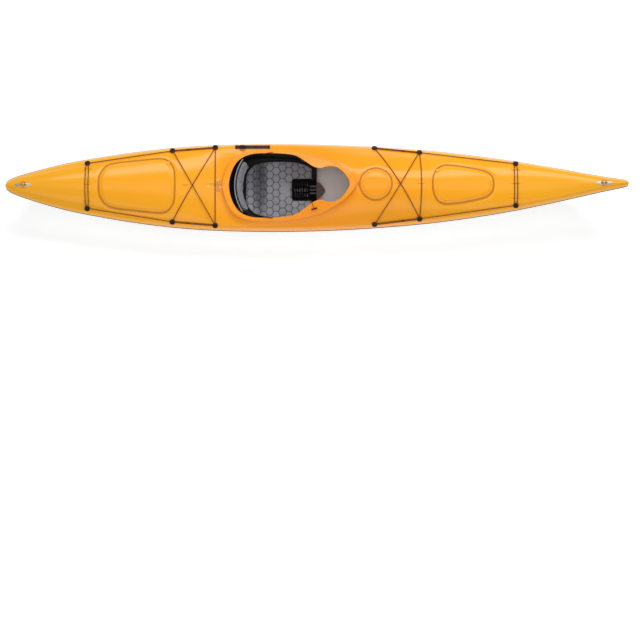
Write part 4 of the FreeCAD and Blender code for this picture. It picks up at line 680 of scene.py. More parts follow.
def make_shell(name, skin, way, openings, material, node):
    """A shell's skin with closed ends, thickened inwards, with its openings cut."""
    rows, columns = skin.shape[:2]
    faces = grid_faces(rows, columns)
    faces.append(tuple(range(columns)[::way]))
    faces.append(tuple((rows - 1) * columns + k for k in range(columns)[::-way]))
    shell = make(name, skin.reshape(-1, 3), faces, slot=node + "_shell", nodes=(node,))
    facing(shell, way)
    thicken(shell, SHEET)
    cut(shell, openings)
    paint(shade(shell, 40), material)


def make_deck():
    """The deck dips under the cords, round the rim and the hatches, and rises to a ridge at the ends."""
    skin = DECK.copy()
    for x, y, long, wide, deep in HOLLOWS:
        reach = np.hypot((skin[:, :, 0] - x) / long * 2, (skin[:, :, 1] - y) / wide * 2)
        skin[:, :, 2] -= deep * np.clip(1 - reach**2, 0, 1) ** 1.5
    near = bulge(RIM_LINE, 0.034)
    front = np.clip((skin[:, :, 0] + 0.10) / 0.25, 0, 1)
    skin[:, :, 2] -= 0.0035 * front * near**2 * (3 - 2 * near)
    for outline in HATCHES.values():
        near = bulge(outline, 0.018)
        skin[:, :, 2] -= 0.0046 * near**2 * (3 - 2 * near)
    ends = np.clip((np.abs(skin[:, :, 0]) - 1.30) / 0.30, 0, 1)
    skin[:, :, 2] += 0.0022 * ends * np.exp(-np.abs(skin[:, :, 1]) / 0.009)
    for x in (BOW_EYE_X, STERN_EYE_X):
        reach = np.hypot(skin[:, :, 0] - x, skin[:, :, 1]) / 0.023
        skin[:, :, 2] -= 0.012 * np.sqrt(np.clip(1 - reach**2, 0, 1))
    openings = [inset_curve(RIM_LINE, 0.0205)] + list(HATCHES.values())
    openings.append(oblong(RECESS_REAR, RECESS_FRONT, 0.257, 0.30))
    make_shell("deck_skin", skin, 1, openings, DECK_PLASTIC, "deck")


def make_slider_seat():
    """The recess moulded in the shoulder for the slider: a wall, a flat and a drop to the deck."""
    flat = RECESS_FLOOR
    steps = 40
    vertices = []
    for x in np.linspace(RECESS_REAR, RECESS_FRONT, steps):
        inner = deck_z(x, 0.257)
        outer = min(deck_z(x, 0.2865), flat)
        profile = ((0.2535, inner - 0.003), (0.2565, inner - 0.0004), (0.2578, inner - 0.0016),
                   (0.2582, flat + 0.0012), (0.2592, flat), (0.2845, flat), (0.2858, flat - 0.0006),
                   (0.2864, flat - 0.002), (0.2866, outer - 0.004), (0.30, outer - 0.03))
        vertices += [(x, y, z) for y, z in profile]
    floor = make("slider_recess", vertices, grid_faces(steps, len(profile)))
    facing(floor)
    ends = []
    for x in (RECESS_REAR, RECESS_FRONT):
        across = np.linspace(0.2565, 0.2866, 8)
        wall = [(x, y, deck_z(x, y) - 0.0005) for y in across] + [(x, y, flat - 0.0005) for y in across]
        ends.append(make("slider_end", wall, grid_faces(2, len(across))))
    seat = joined("slider_recess_skin", [floor] + ends, slot="deck_shell")
    thicken(seat, 0.002)
    cut(seat, [oblong(-0.542, -0.332, 0.270, 0.278)])
    paint(shade(seat), DECK_PLASTIC)


def make_hull():
    """The hull, level underneath, with a slot for the skeg."""
    skin = HULL.copy()
    skin[:, :, 2] = np.maximum(skin[:, :, 2], 0.0)
    make_shell("hull_skin", skin, -1, [oblong(-1.890, -1.572, -0.004, 0.004)], WHITE, "hull")


def make_seam():
    """The black strip round the sheer, with rounded edges."""
    curve = basis(len(OFFSETS), 460) @ np.stack(
        [OFFSETS[:, 0] * HALF_LENGTH, OFFSETS[:, 1] * HALF_BEAM, OFFSETS[:, 3] * HEIGHT], axis=1)
    line = np.vstack([curve, curve[::-1] * (1, -1, 1)])
    along = np.roll(line, -1, axis=0) - np.roll(line, 1, axis=0)
    along[:, 2] = 0
    along /= np.linalg.norm(along, axis=1)[:, None]
    out = np.stack([-along[:, 1], along[:, 0], along[:, 2]], axis=1)
    if (out[100] * line[100])[1] < 0:
        out = -out
    profile = mirrored(((-0.001, -0.0085), (0.0012, -0.009), (0.0024, -0.0082), (0.0029, -0.006),
                        (0.0026, -0.0015)), (0.0021, 0.0))
    rings = np.stack([line + out * o + np.array((0, 0, z)) for o, z in profile], axis=1)
    stacked("seam_trim", rings, closed=True, slot="strip", nodes=("seam_strip",), look=RUBBER)


def on_deck(outline, lift):
    """An outline laid on the deck, moved along the deck's normal."""
    return [deck_at(x, y, lift) for x, y in outline]


def make_hatch_rim(key):
    """The moulded channel round a hatch, from the deck's rolled edge to the inner lip, in a darker orange
    that paints the channel's shade.
    """
    profile = ((0.0004, -0.0003), (0.0016, -0.0008), (0.0026, -0.0022), (0.0030, -0.0038),
               (0.0038, -0.0046), (0.0055, -0.0049), (0.0130, -0.0049), (0.0260, -0.0049),
               (0.0276, -0.0053), (0.0280, -0.0066), (0.0276, -0.0085), (0.0250, -0.0089),
               (-0.0120, -0.0089), (-0.0138, -0.0085), (-0.0140, -0.0066), (-0.0130, -0.0050),
               (-0.0010, -0.0049))
    rings = [on_deck(inset_curve(HATCHES[key], inset), lift) for inset, lift in profile]
    stacked(key + "_hatch_channel", rings, closed=True, slot="deck_shell", nodes=(key + "_hatch_rim",),
            look=PAINTED_SHADE_GROOVE)


def make_cover(key, tab):
    """A lid with a rolled edge, a raised panel, an inner skirt and a finger tab over its edge."""
    outline = HATCHES[key]
    centre = outline.mean(axis=0)
    top = [(0.046, 0.0051), (0.036, 0.0051), (0.0312, 0.0049), (0.0288, 0.0040), (0.0270, 0.0026),
           (0.0250, 0.0016), (0.0220, 0.0009), (0.0175, 0.0004), (0.0148, -0.0002), (0.0124, -0.0009),
           (0.0111, -0.0016), (0.0106, -0.0023), (0.0106, -0.0027)]
    under = [(0.0122, -0.0029), (0.0298, -0.0029), (0.0300, -0.0060), (0.0300, -0.0186),
             (0.0330, -0.0188), (0.0332, -0.0060), (0.0336, -0.0029), (0.045, -0.0029)]
    inner = inset_curve(outline, 0.046)
    plans = [centre + (inner - centre) * share for share in (0.001, 0.15, 0.32, 0.5, 0.68, 0.85)]
    rings = [on_deck(plan, 0.0052) for plan in plans]
    rings += [on_deck(inset_curve(outline, inset), lift) for inset, lift in top + under]
    rings += [on_deck(plan, -0.0029) for plan in reversed(plans)]
    body = key + "_cover"
    lid = stacked(key + "_lid", rings, body=body, angle=50)
    x, y = tab
    direction = Vector((x - centre[0], y - centre[1], 0)).normalized()
    grip = tab_form(key + "_tab", Vector((x, y, 0)), direction, body)
    joined(key + "_hatch_lid", [lid, grip], body=body, slot="cover", nodes=(key + "_hatch_cover",), angle=50,
           look=LID_PLASTIC)


def tab_form(name, place, direction, body):
    """A rounded lug that a finger lifts."""
    side = Vector((-direction.y, direction.x, 0))
    rings = []
    sizes = ((0.0135, 0.0105, 0.0), (0.0132, 0.0102, 0.0022), (0.0122, 0.0094, 0.0038),
             (0.0100, 0.0076, 0.0048), (0.0060, 0.0045, 0.0050), (0.0010, 0.0008, 0.0044))
    for long, wide, lift in sizes:
        plan = [place + direction * (long * c) + side * (wide * s) for c, s in turns(28)]
        rings.append([deck_at(p.x, p.y, 0.0008 + lift) for p in plan])
    return stacked(name, rings, capped=True, body=body)


# Cockpit rim

def rim_partners():
    """For each place on the opening, the nearest place on the rim's outer line, evened out."""
    fine = 1440
    rim = closed_curve(RIM_LINE, fine)
    at = [float(np.argmin(np.hypot(rim[:, 0] - x, rim[:, 1] - y))) for x, y in OPENING_LINE]
    at = np.unwrap(np.array(at) / fine * 2 * math.pi) / (2 * math.pi) * fine
    for _ in range(14):
        before, after = np.roll(at, 1), np.roll(at, -1)
        before[0] -= fine
        after[-1] += fine
        at = (before + 2 * at + after) / 4
    partners = np.array([rim[int(round(a)) % fine] for a in at])
    return (np.roll(partners, 1, axis=0) + 2 * partners + np.roll(partners, -1, axis=0)) / 4


def make_coaming():
    """The keyhole rim with its drip edge, from the deck up and in to the opening."""
    outer = rim_partners()
    inner = OPENING_LINE
    along = np.roll(outer, -1, axis=0) - np.roll(outer, 1, axis=0)
    along /= np.linalg.norm(along, axis=1)[:, None]
    normal = np.stack([along[:, 1], -along[:, 0]], axis=1)

    def ring(inset, share, height):
        """Rings near the outer edge keep their inset; the rest go towards the opening by share."""
        start = outer + normal * inset
        plan = start + (inner - start) * share
        return [Vector((x, y, deck_z(x, y) + height)) for x, y in plan]

    rings = [ring(a, s, h) for a, s, h in (
        (0.0008, 0, 0.0064), (0.0000, 0, 0.0080), (0.0000, 0, 0.0240), (0.0003, 0, 0.0272),
        (0.0012, 0, 0.0298), (0.0028, 0, 0.0318), (0.0052, 0, 0.0328), (0.0085, 0, 0.0332),
        (0.0125, 0, 0.0331), (0.0165, 0, 0.0327), (0.0165, 0.12, 0.0322), (0.0165, 0.28, 0.0316),
        (0.0165, 0.46, 0.0312), (0.0165, 0.64, 0.0312), (0.0165, 0.80, 0.0314), (0.0165, 0.91, 0.0316),
        (0.0165, 0.965, 0.0312), (0.0165, 0.99, 0.0302), (0.0165, 1.0, 0.0290), (0.0165, 0.985, 0.0278),
        (0.0165, 0.93, 0.0272), (0.0165, 0.72, 0.0268), (0.0165, 0.46, 0.0266), (0.0165, 0.24, 0.0266),
        (0.0218, 0.04, 0.0262), (0.0220, 0, 0.0240), (0.0220, 0, 0.0006), (0.0200, 0, -0.0006),
        (0.0090, 0, 0.0006), (0.0074, 0, 0.0016), (0.0076, 0, 0.0030), (0.0100, 0, 0.0036),
        (0.0150, 0, 0.0042), (0.0168, 0, 0.0060), (0.0170, 0, 0.0090), (0.0170, 0, 0.0225),
        (0.0160, 0, 0.0255), (0.0120, 0, 0.0268), (0.0070, 0, 0.0262), (0.0050, 0, 0.0235),
        (0.0048, 0, 0.0085), (0.0040, 0, 0.0062), (0.0022, 0, 0.0056))]
    stacked("coaming_rim", rings, closed=True, slot="rim", nodes=("coaming",), angle=60, look=RIM_PLASTIC)


# Deck fittings, lines and bungees

def fitting_places(shares):
    """Port and starboard places of each row of knobs, from shares of the half-length and half-breadth."""
    rows = []
    for along, out in shares:
        x = along * HALF_LENGTH
        y = out * half_at(x)
        rows.append(((x, y), (x, -y)))
    return rows


BOW_ROWS = fitting_places(((0.190, 0.925), (0.335, 0.875), (0.643, 0.830)))
STERN_ROWS = fitting_places(((-0.3255, 0.905), (-0.464, 0.880), (-0.738, 0.800)))
CORD_LIFT, CROSSED_LIFT, KNOB_GAP = 0.006, 0.0126, 0.0150
LINE_RADIUS, BUNGEE_RADIUS = 0.0026, 0.0028


def make_fittings():
    """Round knobs with a waist for the cords."""
    profile = ((0.0182, 0.0002), (0.0186, 0.0008), (0.0186, 0.0016), (0.0176, 0.0024), (0.0154, 0.0042),
               (0.0142, 0.0056), (0.0139, 0.0070), (0.0142, 0.0084), (0.0156, 0.0100), (0.0176, 0.0112),
               (0.0186, 0.0124), (0.0184, 0.0136), (0.0170, 0.0146), (0.0145, 0.0151), (0.0082, 0.0152),
               (0.0062, 0.0150), (0.0056, 0.0144), (0.0055, 0.0124), (0.0010, 0.0122))
    knobs = [lathe("knob", profile, deck_at(*place), deck_normal(*place))
             for row in BOW_ROWS + STERN_ROWS for place in row]
    joined("deck_knobs", knobs, slot="black_plastic", nodes=("deck_fittings",), angle=50, look=KNOB)


def taut(start, end, lift, count=72, shift=(0.0, 0.0), slip=0.0):
    """A run of points where a taut cord lies over the crown between two places, slipped a little forward."""
    a, b = np.array(start) + shift, np.array(end) + shift
    plan = [a + (b - a) * k / count + (slip * math.sin(math.pi * k / count), 0) for k in range(count + 1)]
    points = [deck_at(x, y, lift) for x, y in plan]
    s = np.array([k / count for k in range(count + 1)])
    z = np.array([p.z for p in points])
    hull = [0]
    for k in range(1, count + 1):
        while len(hull) > 1:
            i, j = hull[-2], hull[-1]
            if (z[j] - z[i]) * (s[k] - s[i]) <= (z[k] - z[i]) * (s[j] - s[i]):
                hull.pop()
            else:
                break
        hull.append(k)
    level = np.interp(s, s[hull], z[hull])
    return [Vector((p.x, p.y, h)) for p, h in zip(points, level)]


def trimmed(points, gap):
    """Leaves off the parts of a run that are nearer to its ends than a gap."""
    first, last = points[0], points[-1]
    return [p for p in points if (p - first).length > gap and (p - last).length > gap]


def turn_round(place):
    """A turn of cord round a knob's waist."""
    middle, radius = deck_at(*place, 0.0058), 0.0162
    tilt = Vector((0, 0, 1)).rotation_difference(deck_normal(*place))
    points = [middle + tilt @ Vector((radius * c, radius * s, 0)) for c, s in turns(40)]
    return sweep("turn", points, 0.0024, 8, closed=True)


def make_lines(rows, name, node):
    """Perimeter lines: doubled between the first two knobs of each side, single after them."""
    cords = []
    for side in (0, 1):
        stops = [row[side] for row in rows]
        for start, end, shift in ((0, 1, -0.0031), (0, 1, 0.0031), (1, 2, 0.0)):
            run = taut(stops[start], stops[end], CORD_LIFT, shift=(0.0, shift))
            cords.append(sweep("line", trimmed(run, KNOB_GAP), LINE_RADIUS, 8))
        cords += [turn_round(stop) for stop in stops]
    joined(name, cords, slot="line", nodes=(node,), angle=60, look=CORD)


def make_bungees(rows, name, node, across, slip):
    """Two crossed bungees, one straight across and a doubled pair at the row furthest from the cockpit."""
    (near_p, near_s), (far_p, far_s), (end_p, end_s) = rows
    cords = []
    for start, end, lift in ((near_p, far_s, CORD_LIFT), (near_s, far_p, CROSSED_LIFT), (*across, CORD_LIFT)):
        run = taut(start, end, lift, 96, slip=slip)
        cords.append(sweep("bungee", trimmed(run, KNOB_GAP), BUNGEE_RADIUS, 10))
    for side in (-1, 1):
        middle = taut(end_p, end_s, CORD_LIFT, 64, (side * 0.0105, 0))
        bowed = []
        for k, p in enumerate(middle):
            share = k / (len(middle) - 1)
            ease = min(1.0, math.sin(math.pi * share) * 2.4)
            bowed.append(Vector((p.x - side * 0.004 * (1 - ease), p.y, p.z)))
        cords.append(sweep("bungee", trimmed(bowed, 0.0040), BUNGEE_RADIUS, 10))
    joined(name, cords, slot="line", nodes=(node,), angle=60, look=CORD)


def make_clips():
    """Small cord locks on the doubled lines."""
    profile = mirrored(((0.0020, -0.0112), (0.0044, -0.0110), (0.0056, -0.0098), (0.0060, -0.0080),
                        (0.0060, -0.0030), (0.0052, -0.0020)))
    clips = []
    for rows in (BOW_ROWS, STERN_ROWS):
        for side in (0, 1):
            run = taut(rows[0][side], rows[1][side], CORD_LIFT, 50)
            along = (run[36] - run[28]).normalized()
            clips.append(lathe("clip", profile, run[32], along, 24))
    joined("line_locks", clips, slot="black_plastic", nodes=("line_clips",), angle=50, look=BLACK)


def make_rear_padeye():
    """A bent steel bow on two round feet behind the cockpit."""
    x, half, rise = -0.672, 0.031, 0.015
    points = []
    for a in np.linspace(0, math.pi, 25):
        y = half * math.cos(a)
        lift = rise * math.sin(a) ** 0.55
        points.append(Vector((x, y, deck_z(x, y) + 0.004 + lift)))
    bow = sweep("bow", points, 0.003, 14)
    profile = ((0.0088, 0.0002), (0.0092, 0.0010), (0.0088, 0.0026), (0.0070, 0.0038), (0.0030, 0.0044))
    feet = [lathe("foot", profile, deck_at(x, y, 0.001), deck_normal(x, y), 28) for y in (-half, half)]
    joined("rear_eye", [bow] + feet, slot="steel", nodes=("rear_padeye",), angle=50, look=SATIN)


def make_end_padeye(key, x):
    """A polished plate with pointed ends and a bridge over its cup."""
    rings = []
    for inset, lift in ((0.0, 0.0004), (0.0, 0.0022), (0.0014, 0.0036), (0.0040, 0.0040)):
        ring = []
        for c, s in turns(72):
            wide = (0.0140 - inset * 0.8) * math.copysign(abs(s) ** 1.2, s)
            ring.append(deck_at(x + (0.060 - inset) * c, wide, lift))
        rings.append(ring)
    hole = []
    for inset, lift in ((0.0006, 0.0040), (0.0, 0.0028), (0.0, -0.0006)):
        ring = []
        for c, s in turns(72):
            long = (0.022 + inset) * math.copysign(abs(c) ** 0.8, c)
            wide = (0.0095 + inset) * math.copysign(abs(s) ** 0.8, s)
            ring.append(Vector((x + long, wide, deck_z(x + long, 0) + 0.001 + lift)))
        hole.append(ring)
    plate = stacked("plate", rings + hole, closed=True)
    bar = []
    for y in np.linspace(-0.0125, 0.0125, 13):
        bar.append(Vector((x, y, deck_z(x, 0) + 0.0052 - 0.0030 * (y / 0.0125) ** 2)))
    bridge = sweep("bar", bar, 0.0040, 14, flat=0.62)
    joined(key + "_eye", [plate, bridge], slot="steel", nodes=(key + "_padeye",), angle=45, look=SATIN)


def make_slider():
    """The skeg slider: a strip between two end caps and a round finger ring that runs on it."""
    paint(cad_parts["slider_track"], TRACK)
    caps = [rounded_block("cap", (x, 0.2612, 0.2582), (x + 0.014, 0.2868, 0.2668), 0.0026)
            for x in (-0.556, -0.332)]
    joined("slider_caps", caps, slot="black_plastic", angle=50, look=KNOB)
    profile = mirrored(((0.0100, -0.0060), (0.0106, -0.0078), (0.0122, -0.0088), (0.0170, -0.0090),
                        (0.0192, -0.0084), (0.0206, -0.0064), (0.0210, -0.0030)))
    centre = Vector((-0.505, 0.274, 0.2844))
    rings = [[centre + Vector((radius * c, y, radius * s)) for c, s in turns(48)] for radius, y in profile]
    ring = stacked("ring", rings, closed=True)
    foot = rounded_block("foot", (-0.5272, 0.2650, 0.2634), (-0.4828, 0.2830, 0.2684), 0.0016)
    stem = rounded_block("stem", (-0.5175, 0.2704, 0.2490), (-0.4925, 0.2776, 0.2660), 0.0008)
    joined("slider_ring", [ring, foot, stem], body="slider", slot="knob", nodes=("slider_knob",), angle=50,
           look=KNOB)


# Seat

SEAT_REAR, SEAT_LENGTH, SEAT_HALF = -0.512, 0.518, 0.246
STUD_X, STUD_Y = 0.0447, 0.052
STUD_FIRST = -0.3204
PAD_REAR, PAD_FRONT, PAD_HALF = -0.488, -0.028, 0.196
PAD_SHARES = ((0, 0.30), (0.015, 0.55), (0.09, 0.80), (0.20, 0.94), (0.42, 1.0), (0.70, 0.99), (0.88, 0.90),
              (0.97, 0.78), (1, 0.66))
NOTCH_REAR, NOTCH_HALF, NOTCH_CORNER = -0.168, 0.078, 0.022


def seat_z(x, y):
    """Height of the seat pan: 66 mm, higher at its sides and rear, hollow in the middle."""
    along = (x - SEAT_REAR) / SEAT_LENGTH
    out = y / SEAT_HALF
    sides, rear = 26 * abs(out) ** 3, 18 * (1 - along) ** 4
    return (66 + sides + rear - 8 * (1 - out * out) * math.sin(math.pi * along)) * MM


def stud_field(x, y):
    """Distance to the edge of the stud's six-sided cell, and a plain patch's own value."""
    best = []
    column = (x - STUD_FIRST) / STUD_X
    for n in range(math.floor(column) - 1, math.floor(column) + 3):
        shift = 0.0 if n % 2 == 0 else 0.5
        row = y / STUD_Y - shift
        for m in (math.floor(row), math.floor(row) + 1):
            cx, cy = STUD_FIRST + n * STUD_X, (m + shift) * STUD_Y
            plain = n in (2, 3) and abs(cy) < 0.060
            best.append((math.hypot(x - cx, y - cy), plain, n * 31 + m * 17, cx))
    best.sort(key=lambda item: item[0])
    edge = (best[1][0] - best[0][0]) / 2
    both_plain = best[0][1] and best[1][1]
    ahead = (x - best[0][3]) / max(best[0][0], 0.001)
    return (0.02 if both_plain else edge), best[0][1], best[0][2], ahead


def make_seat_pad():
    """Studded foam, its edges rolled over, open in front for the slotted panel."""
    outline = closed_curve(mirrored_outline(PAD_REAR, PAD_FRONT, PAD_HALF, PAD_SHARES), 900)
    port = outline[outline[:, 1] > 0]
    port = port[np.argsort(port[:, 0])]
    rows = 250
    xs = np.linspace(PAD_REAR + 0.0006, PAD_FRONT - 0.0006, rows)
    split = NOTCH_HALF - NOTCH_CORNER
    wide, middle = 62, 60
    vertices, index, painted_groove_shade, stud_tone_and_painted_shade = [], {}, [], []

    def top(x, y, edge):
        cell, plain, seed, ahead = stud_field(x, y)
        crease = max(0.0, 1 - abs(x - NOTCH_REAR + 0.0105) / 0.0022) if abs(y) < 0.060 else 0.0
        cut_in = 1 - min(1.0, cell / (0.0044 + 0.0032 * ahead))
        cut_in = max(crease, cut_in * cut_in * (3 - 2 * cut_in))
        crown = 0.0 if plain else 0.0026 * math.sqrt(min(1.0, cell / 0.020))
        roll = min(1.0, max(0.0, edge) / 0.011)
        roll = math.sqrt(1 - (1 - roll) ** 2)
        thick = 0.020 * (1 - (abs(y) / SEAT_HALF) ** 4 * 0.55)
        groove_depth = (0.0030 + 0.0014 * ahead) * cut_in * roll
        height = 0.0045 + (thick - 0.0045) * (0.35 + 0.65 * roll) + crown - groove_depth
        # Painted shade in the grooves and the crease, darker on each stud's forward side, away from the
        # light, fainter towards the rolled edges.
        painted_groove_shade.append(max(crease, cut_in * (0.56 + 0.44 * ahead)) * (0.3 + 0.7 * roll))
        # A painted shade band across the second and third columns of studs, stronger to port and deepest
        # behind x = -0.33, on top of each stud's own random tone.
        tone_with_painted_shade = math.exp(-((x + 0.388) / 0.045) ** 2) * (0.75 + 1.6 * y)
        behind = min(1.0, max(0.0, (-0.330 - x) / 0.024))
        stud_tone_and_painted_shade.append(0.62 + 0.16 * math.sin(seed * 12.9898) - 0.80 * tone_with_painted_shade * behind - 0.30 * tone_with_painted_shade)
        return seat_z(x, y) + height

    quads = []
    for i, x in enumerate(xs):
        half = float(np.interp(x, port[:, 0], port[:, 1])) - 0.0004
        past = x - NOTCH_REAR
        if past < 0:
            inner = split
        elif past < NOTCH_CORNER:
            inner = split + math.sqrt(max(0.0, NOTCH_CORNER**2 - (NOTCH_CORNER - past) ** 2))
        else:
            inner = NOTCH_HALF
        inner = min(inner, half - 0.004)
        lines = [("s", np.linspace(-half, -inner, wide)), ("p", np.linspace(inner, half, wide))]
        if past < 0:
            lines.insert(1, ("m", np.linspace(-inner, inner, middle)))
        for key, ys in lines:
            for j, y in enumerate(ys):
                if key == "m" and j == 0:
                    index[(i, "m", 0)] = index[(i, "s", wide - 1)]
                    continue
                if key == "p" and j == 0 and past < 0:
                    index[(i, "p", 0)] = index[(i, "m", middle - 1)]
                    continue
                edge = min(half - abs(y), x - PAD_REAR, PAD_FRONT - x)
                if past >= 0:
                    edge = min(edge, abs(y) - inner)
                elif abs(y) < split + 0.02:
                    edge = min(edge, math.hypot(past, max(0.0, abs(y) - split)))
                index[(i, key, j)] = len(vertices)
                vertices.append((x, y, top(x, y, edge)))
    for i in range(rows - 1):
        for key, count in (("s", wide), ("m", middle), ("p", wide)):
            if (i + 1, key, 1) not in index:
                continue
            for j in range(count - 1):
                corners = ((i, key, j), (i, key, j + 1), (i + 1, key, j + 1), (i + 1, key, j))
                quads.append(tuple(index[corner] for corner in corners))
    used = sorted({k for q in quads for k in q})
    place = {k: n for n, k in enumerate(used)}
    quads = [tuple(place[k] for k in q) for q in quads]
    tops = [vertices[k] for k in used]
    painted_groove_shade = [painted_groove_shade[k] for k in used]
    stud_tone_and_painted_shade = [stud_tone_and_painted_shade[k] for k in used]
    count = len(tops)
    bottoms = [(x, y, seat_z(x, y) + 0.0006) for x, y, _ in tops]
    edges = {pair: True for q in quads for pair in zip(q, q[1:] + q[:1])}
    walls = [(b, a, a + count, b + count) for a, b in edges if (b, a) not in edges]
    faces = quads + [tuple(k + count for k in reversed(q)) for q in quads] + walls
    pad = make("seat_foam", tops + bottoms, faces, slot="foam", nodes=("seat_pad",), angle=60, look=FOAM)
    for name, values in (("painted_groove_shade", painted_groove_shade), ("shade", stud_tone_and_painted_shade)):
        layer = pad.data.attributes.new(name, "FLOAT", "POINT")
        layer.data.foreach_set("value", values + values)
    outward(pad)


def make_ladder():
    """The slotted black panel with raised ribs between its rows of slots."""
    rear, front, half, corner = -0.164, 0.005, 0.074, 0.022
    pitch_x, pitch_y = 0.122 / 7, 0.037
    panel = []
    nx, ny = 86, 76
    for x in np.linspace(rear, front, nx):
        into = max(0.0, corner - (x - rear))
        w = half - (corner - math.sqrt(max(0.0, corner**2 - into**2)))
        for y in np.linspace(-w, w, ny):
            lift = 0.0046 + 0.0010 * max(0.0, math.cos((y / pitch_y + 0.5) * 2 * math.pi))
            panel.append((x, y, seat_z(x, y) + lift))
    piece = make("ladder", panel, grid_faces(nx, ny), slot="web", nodes=("seat_ladder",))
    facing(piece)
    slots = [(rear + i * pitch_x, j * pitch_y) for i in range(1, 7) for j in (-1, 0, 1)]
    radius, reach = 0.0036, 0.0085
    holes = [[(x + radius * c, y + math.copysign(reach, s) + radius * s) for c, s in turns(20)]
             for x, y in slots]
    thicken(piece, 0.0038)
    cut(piece, holes)
    paint(shade(piece, 50), LADDER)


def make_straps():
    """Flat straps laid fore and aft over the panel's front end."""
    section = ((-0.006, 0.0050), (-0.0062, 0.0062), (-0.0054, 0.0072), (0, 0.0076), (0.0054, 0.0072),
               (0.0062, 0.0062), (0.006, 0.0050))
    straps = []
    for middle in (-0.024, 0.0, 0.024):
        rings = [[(x, middle + y, seat_z(x, middle + y) + lift) for y, lift in section]
                 for x in np.linspace(-0.042, 0.0056, 24)]
        straps.append(stacked("strap", rings, capped=True))
    joined("seat_straps", straps, slot="web", nodes=("seat_webbing",), angle=60, look=WEB)


BACK_LEAN = 0.020
BACK_RADIUS = 0.320
BACK_CENTRE = -0.550 + BACK_RADIUS
PAD_LOW, PAD_HIGH, PAD_TURN = 0.1786, 0.3214, 32.7


def back_arc(radius, z, angle):
    return Vector((BACK_CENTRE - radius * math.cos(angle), radius * math.sin(angle), z))


def arc_form(name, section, half_angle, steps, round_ends, **kw):
    """Sweeps a section of radius and height round the backrest's centre, smaller at its rounded ends."""
    middle_r, middle_z = np.mean(section, axis=0)
    rings = []
    for k in range(steps + 1):
        t = -1 + 2 * k / steps
        near_end = max(0.0, (abs(t) - 1 + round_ends) / round_ends)
        shrink = math.sqrt(max(0.0004, 1 - near_end**2))
        rings.append([back_arc(middle_r + (r - middle_r) * shrink,
                               middle_z + (z - middle_z) * (0.6 + 0.4 * shrink),
                               math.radians(half_angle) * t) for r, z in section])
    return stacked(name, rings, capped=True, **kw)


def make_backrest():
    """A crowned cushion with piping in front of the curved shell, and a band behind its top edge."""
    inner, outer = BACK_RADIUS - 0.0243, BACK_RADIUS - 0.0006
    section = []
    for t in np.arange(15) / 14:
        radius = inner - BACK_LEAN * (1 - t) + 0.006 * math.sin(math.pi * t)
        section.append((radius, PAD_LOW + 0.007 + t * (PAD_HIGH - PAD_LOW - 0.014)))
    section += [(inner + 0.012, PAD_HIGH), (outer, PAD_HIGH - 0.002), (outer, (PAD_LOW + PAD_HIGH) / 2),
                (outer, PAD_LOW + 0.002), (inner - 0.010, PAD_LOW)]
    for _ in range(3):
        ahead = section[1:] + section[:1]
        section = [point for a, b in zip(section, ahead)
                   for point in ((a[0] * 0.75 + b[0] * 0.25, a[1] * 0.75 + b[1] * 0.25),
                                 (a[0] * 0.25 + b[0] * 0.75, a[1] * 0.25 + b[1] * 0.75))]
    section = section[::2]
    pad = arc_form("back_cushion", section, PAD_TURN, 96, 0.10, body="backrest", slot="back_pad",
                   nodes=("backrest_pad",), angle=80, look=BACK_CLOTH)
    for v in pad.data.vertices:
        away = Vector((v.co.x - BACK_CENTRE, v.co.y, 0))
        a = math.atan2(away.y, -away.x)
        soft = 0.0018 * math.sin(a * 13.0) * math.sin(v.co.z * 60.0)
        soft += 0.0010 * math.sin(a * 33.0 + v.co.z * 90.0)
        if away.length < BACK_RADIUS - 0.004:
            v.co += away.normalized() * soft
    piping = []
    for z in (PAD_HIGH + 0.0002, PAD_LOW - 0.0002):
        run = [back_arc(BACK_RADIUS - 0.003, z, math.radians(PAD_TURN) * t) for t in np.linspace(-1, 1, 70)]
        piping.append(sweep("piping", run, 0.0030, 10))
    joined("backrest_piping", piping, body="backrest", slot="black_shell", angle=60, look=RUBBER)
    section = [(0.0043, 0.2775), (0.0043, 0.3190), (0.0052, 0.3212), (0.0078, 0.3222), (0.0103, 0.3212),
               (0.0112, 0.3190), (0.0112, 0.2790), (0.0100, 0.2764), (0.0062, 0.2762)]
    band = arc_form("backrest_rim_band", [(BACK_RADIUS + out, z) for out, z in section], 34.0, 72, 0.05,
                    body="backrest", slot="band", nodes=("backrest_band",), angle=50, look=BAND_CLOTH)


def make_pull():
    """The small cross handle on the starboard thigh brace and its thin cord."""
    x, y, turn = -0.010, -0.169, math.radians(14)
    ahead = Vector((0.01 * math.cos(turn), 0.01 * math.sin(turn), 0))
    rise = deck_z(x + ahead.x, y + ahead.y) - deck_z(x - ahead.x, y - ahead.y)
    along = (2 * ahead + Vector((0, 0, rise))).normalized()
    middle = Vector((x, y, deck_z(x, y) + 0.038))
    profile = mirrored(((0.0012, -0.0210), (0.0036, -0.0206), (0.0050, -0.0192), (0.0052, -0.0170),
                        (0.0047, -0.0120)), (0.0043, 0.0))
    lathe("pull_handle", profile, middle, along, 28, slot="black_plastic", nodes=("seat_pull_handle",),
          look=KNOB)
    over_rim = ((-0.012, -0.1615), (-0.0175, -0.150), (-0.023, -0.138))
    points = [(x, y, deck_z(x, y) + 0.0345) for x, y in over_rim]
    points += [(-0.0275, -0.1275, 0.3895), (-0.031, -0.1205, 0.386), (-0.036, -0.113, 0.362),
               (-0.042, -0.106, 0.326), (-0.048, -0.096, 0.270), (-0.053, -0.085, 0.205),
               (-0.056, -0.076, 0.150), (-0.057, -0.069, 0.071)]
    sweep("pull_line", smooth_run(points, 12), 0.0016, 8, slot="line", nodes=("seat_pull_cord",), look=CORD)


def smooth_run(points, per_span):
    """A smooth open run through some points."""
    p = np.array(points, float)
    p = np.vstack([2 * p[0] - p[1], p, 2 * p[-1] - p[-2]])
    run = []
    for a, b, c, d in zip(p, p[1:], p[2:], p[3:]):
        for t in np.arange(per_span) / per_span:
            run.append(between(a, b, c, d, t))
    run.append(p[-2])
    return [Vector(q) for q in run]


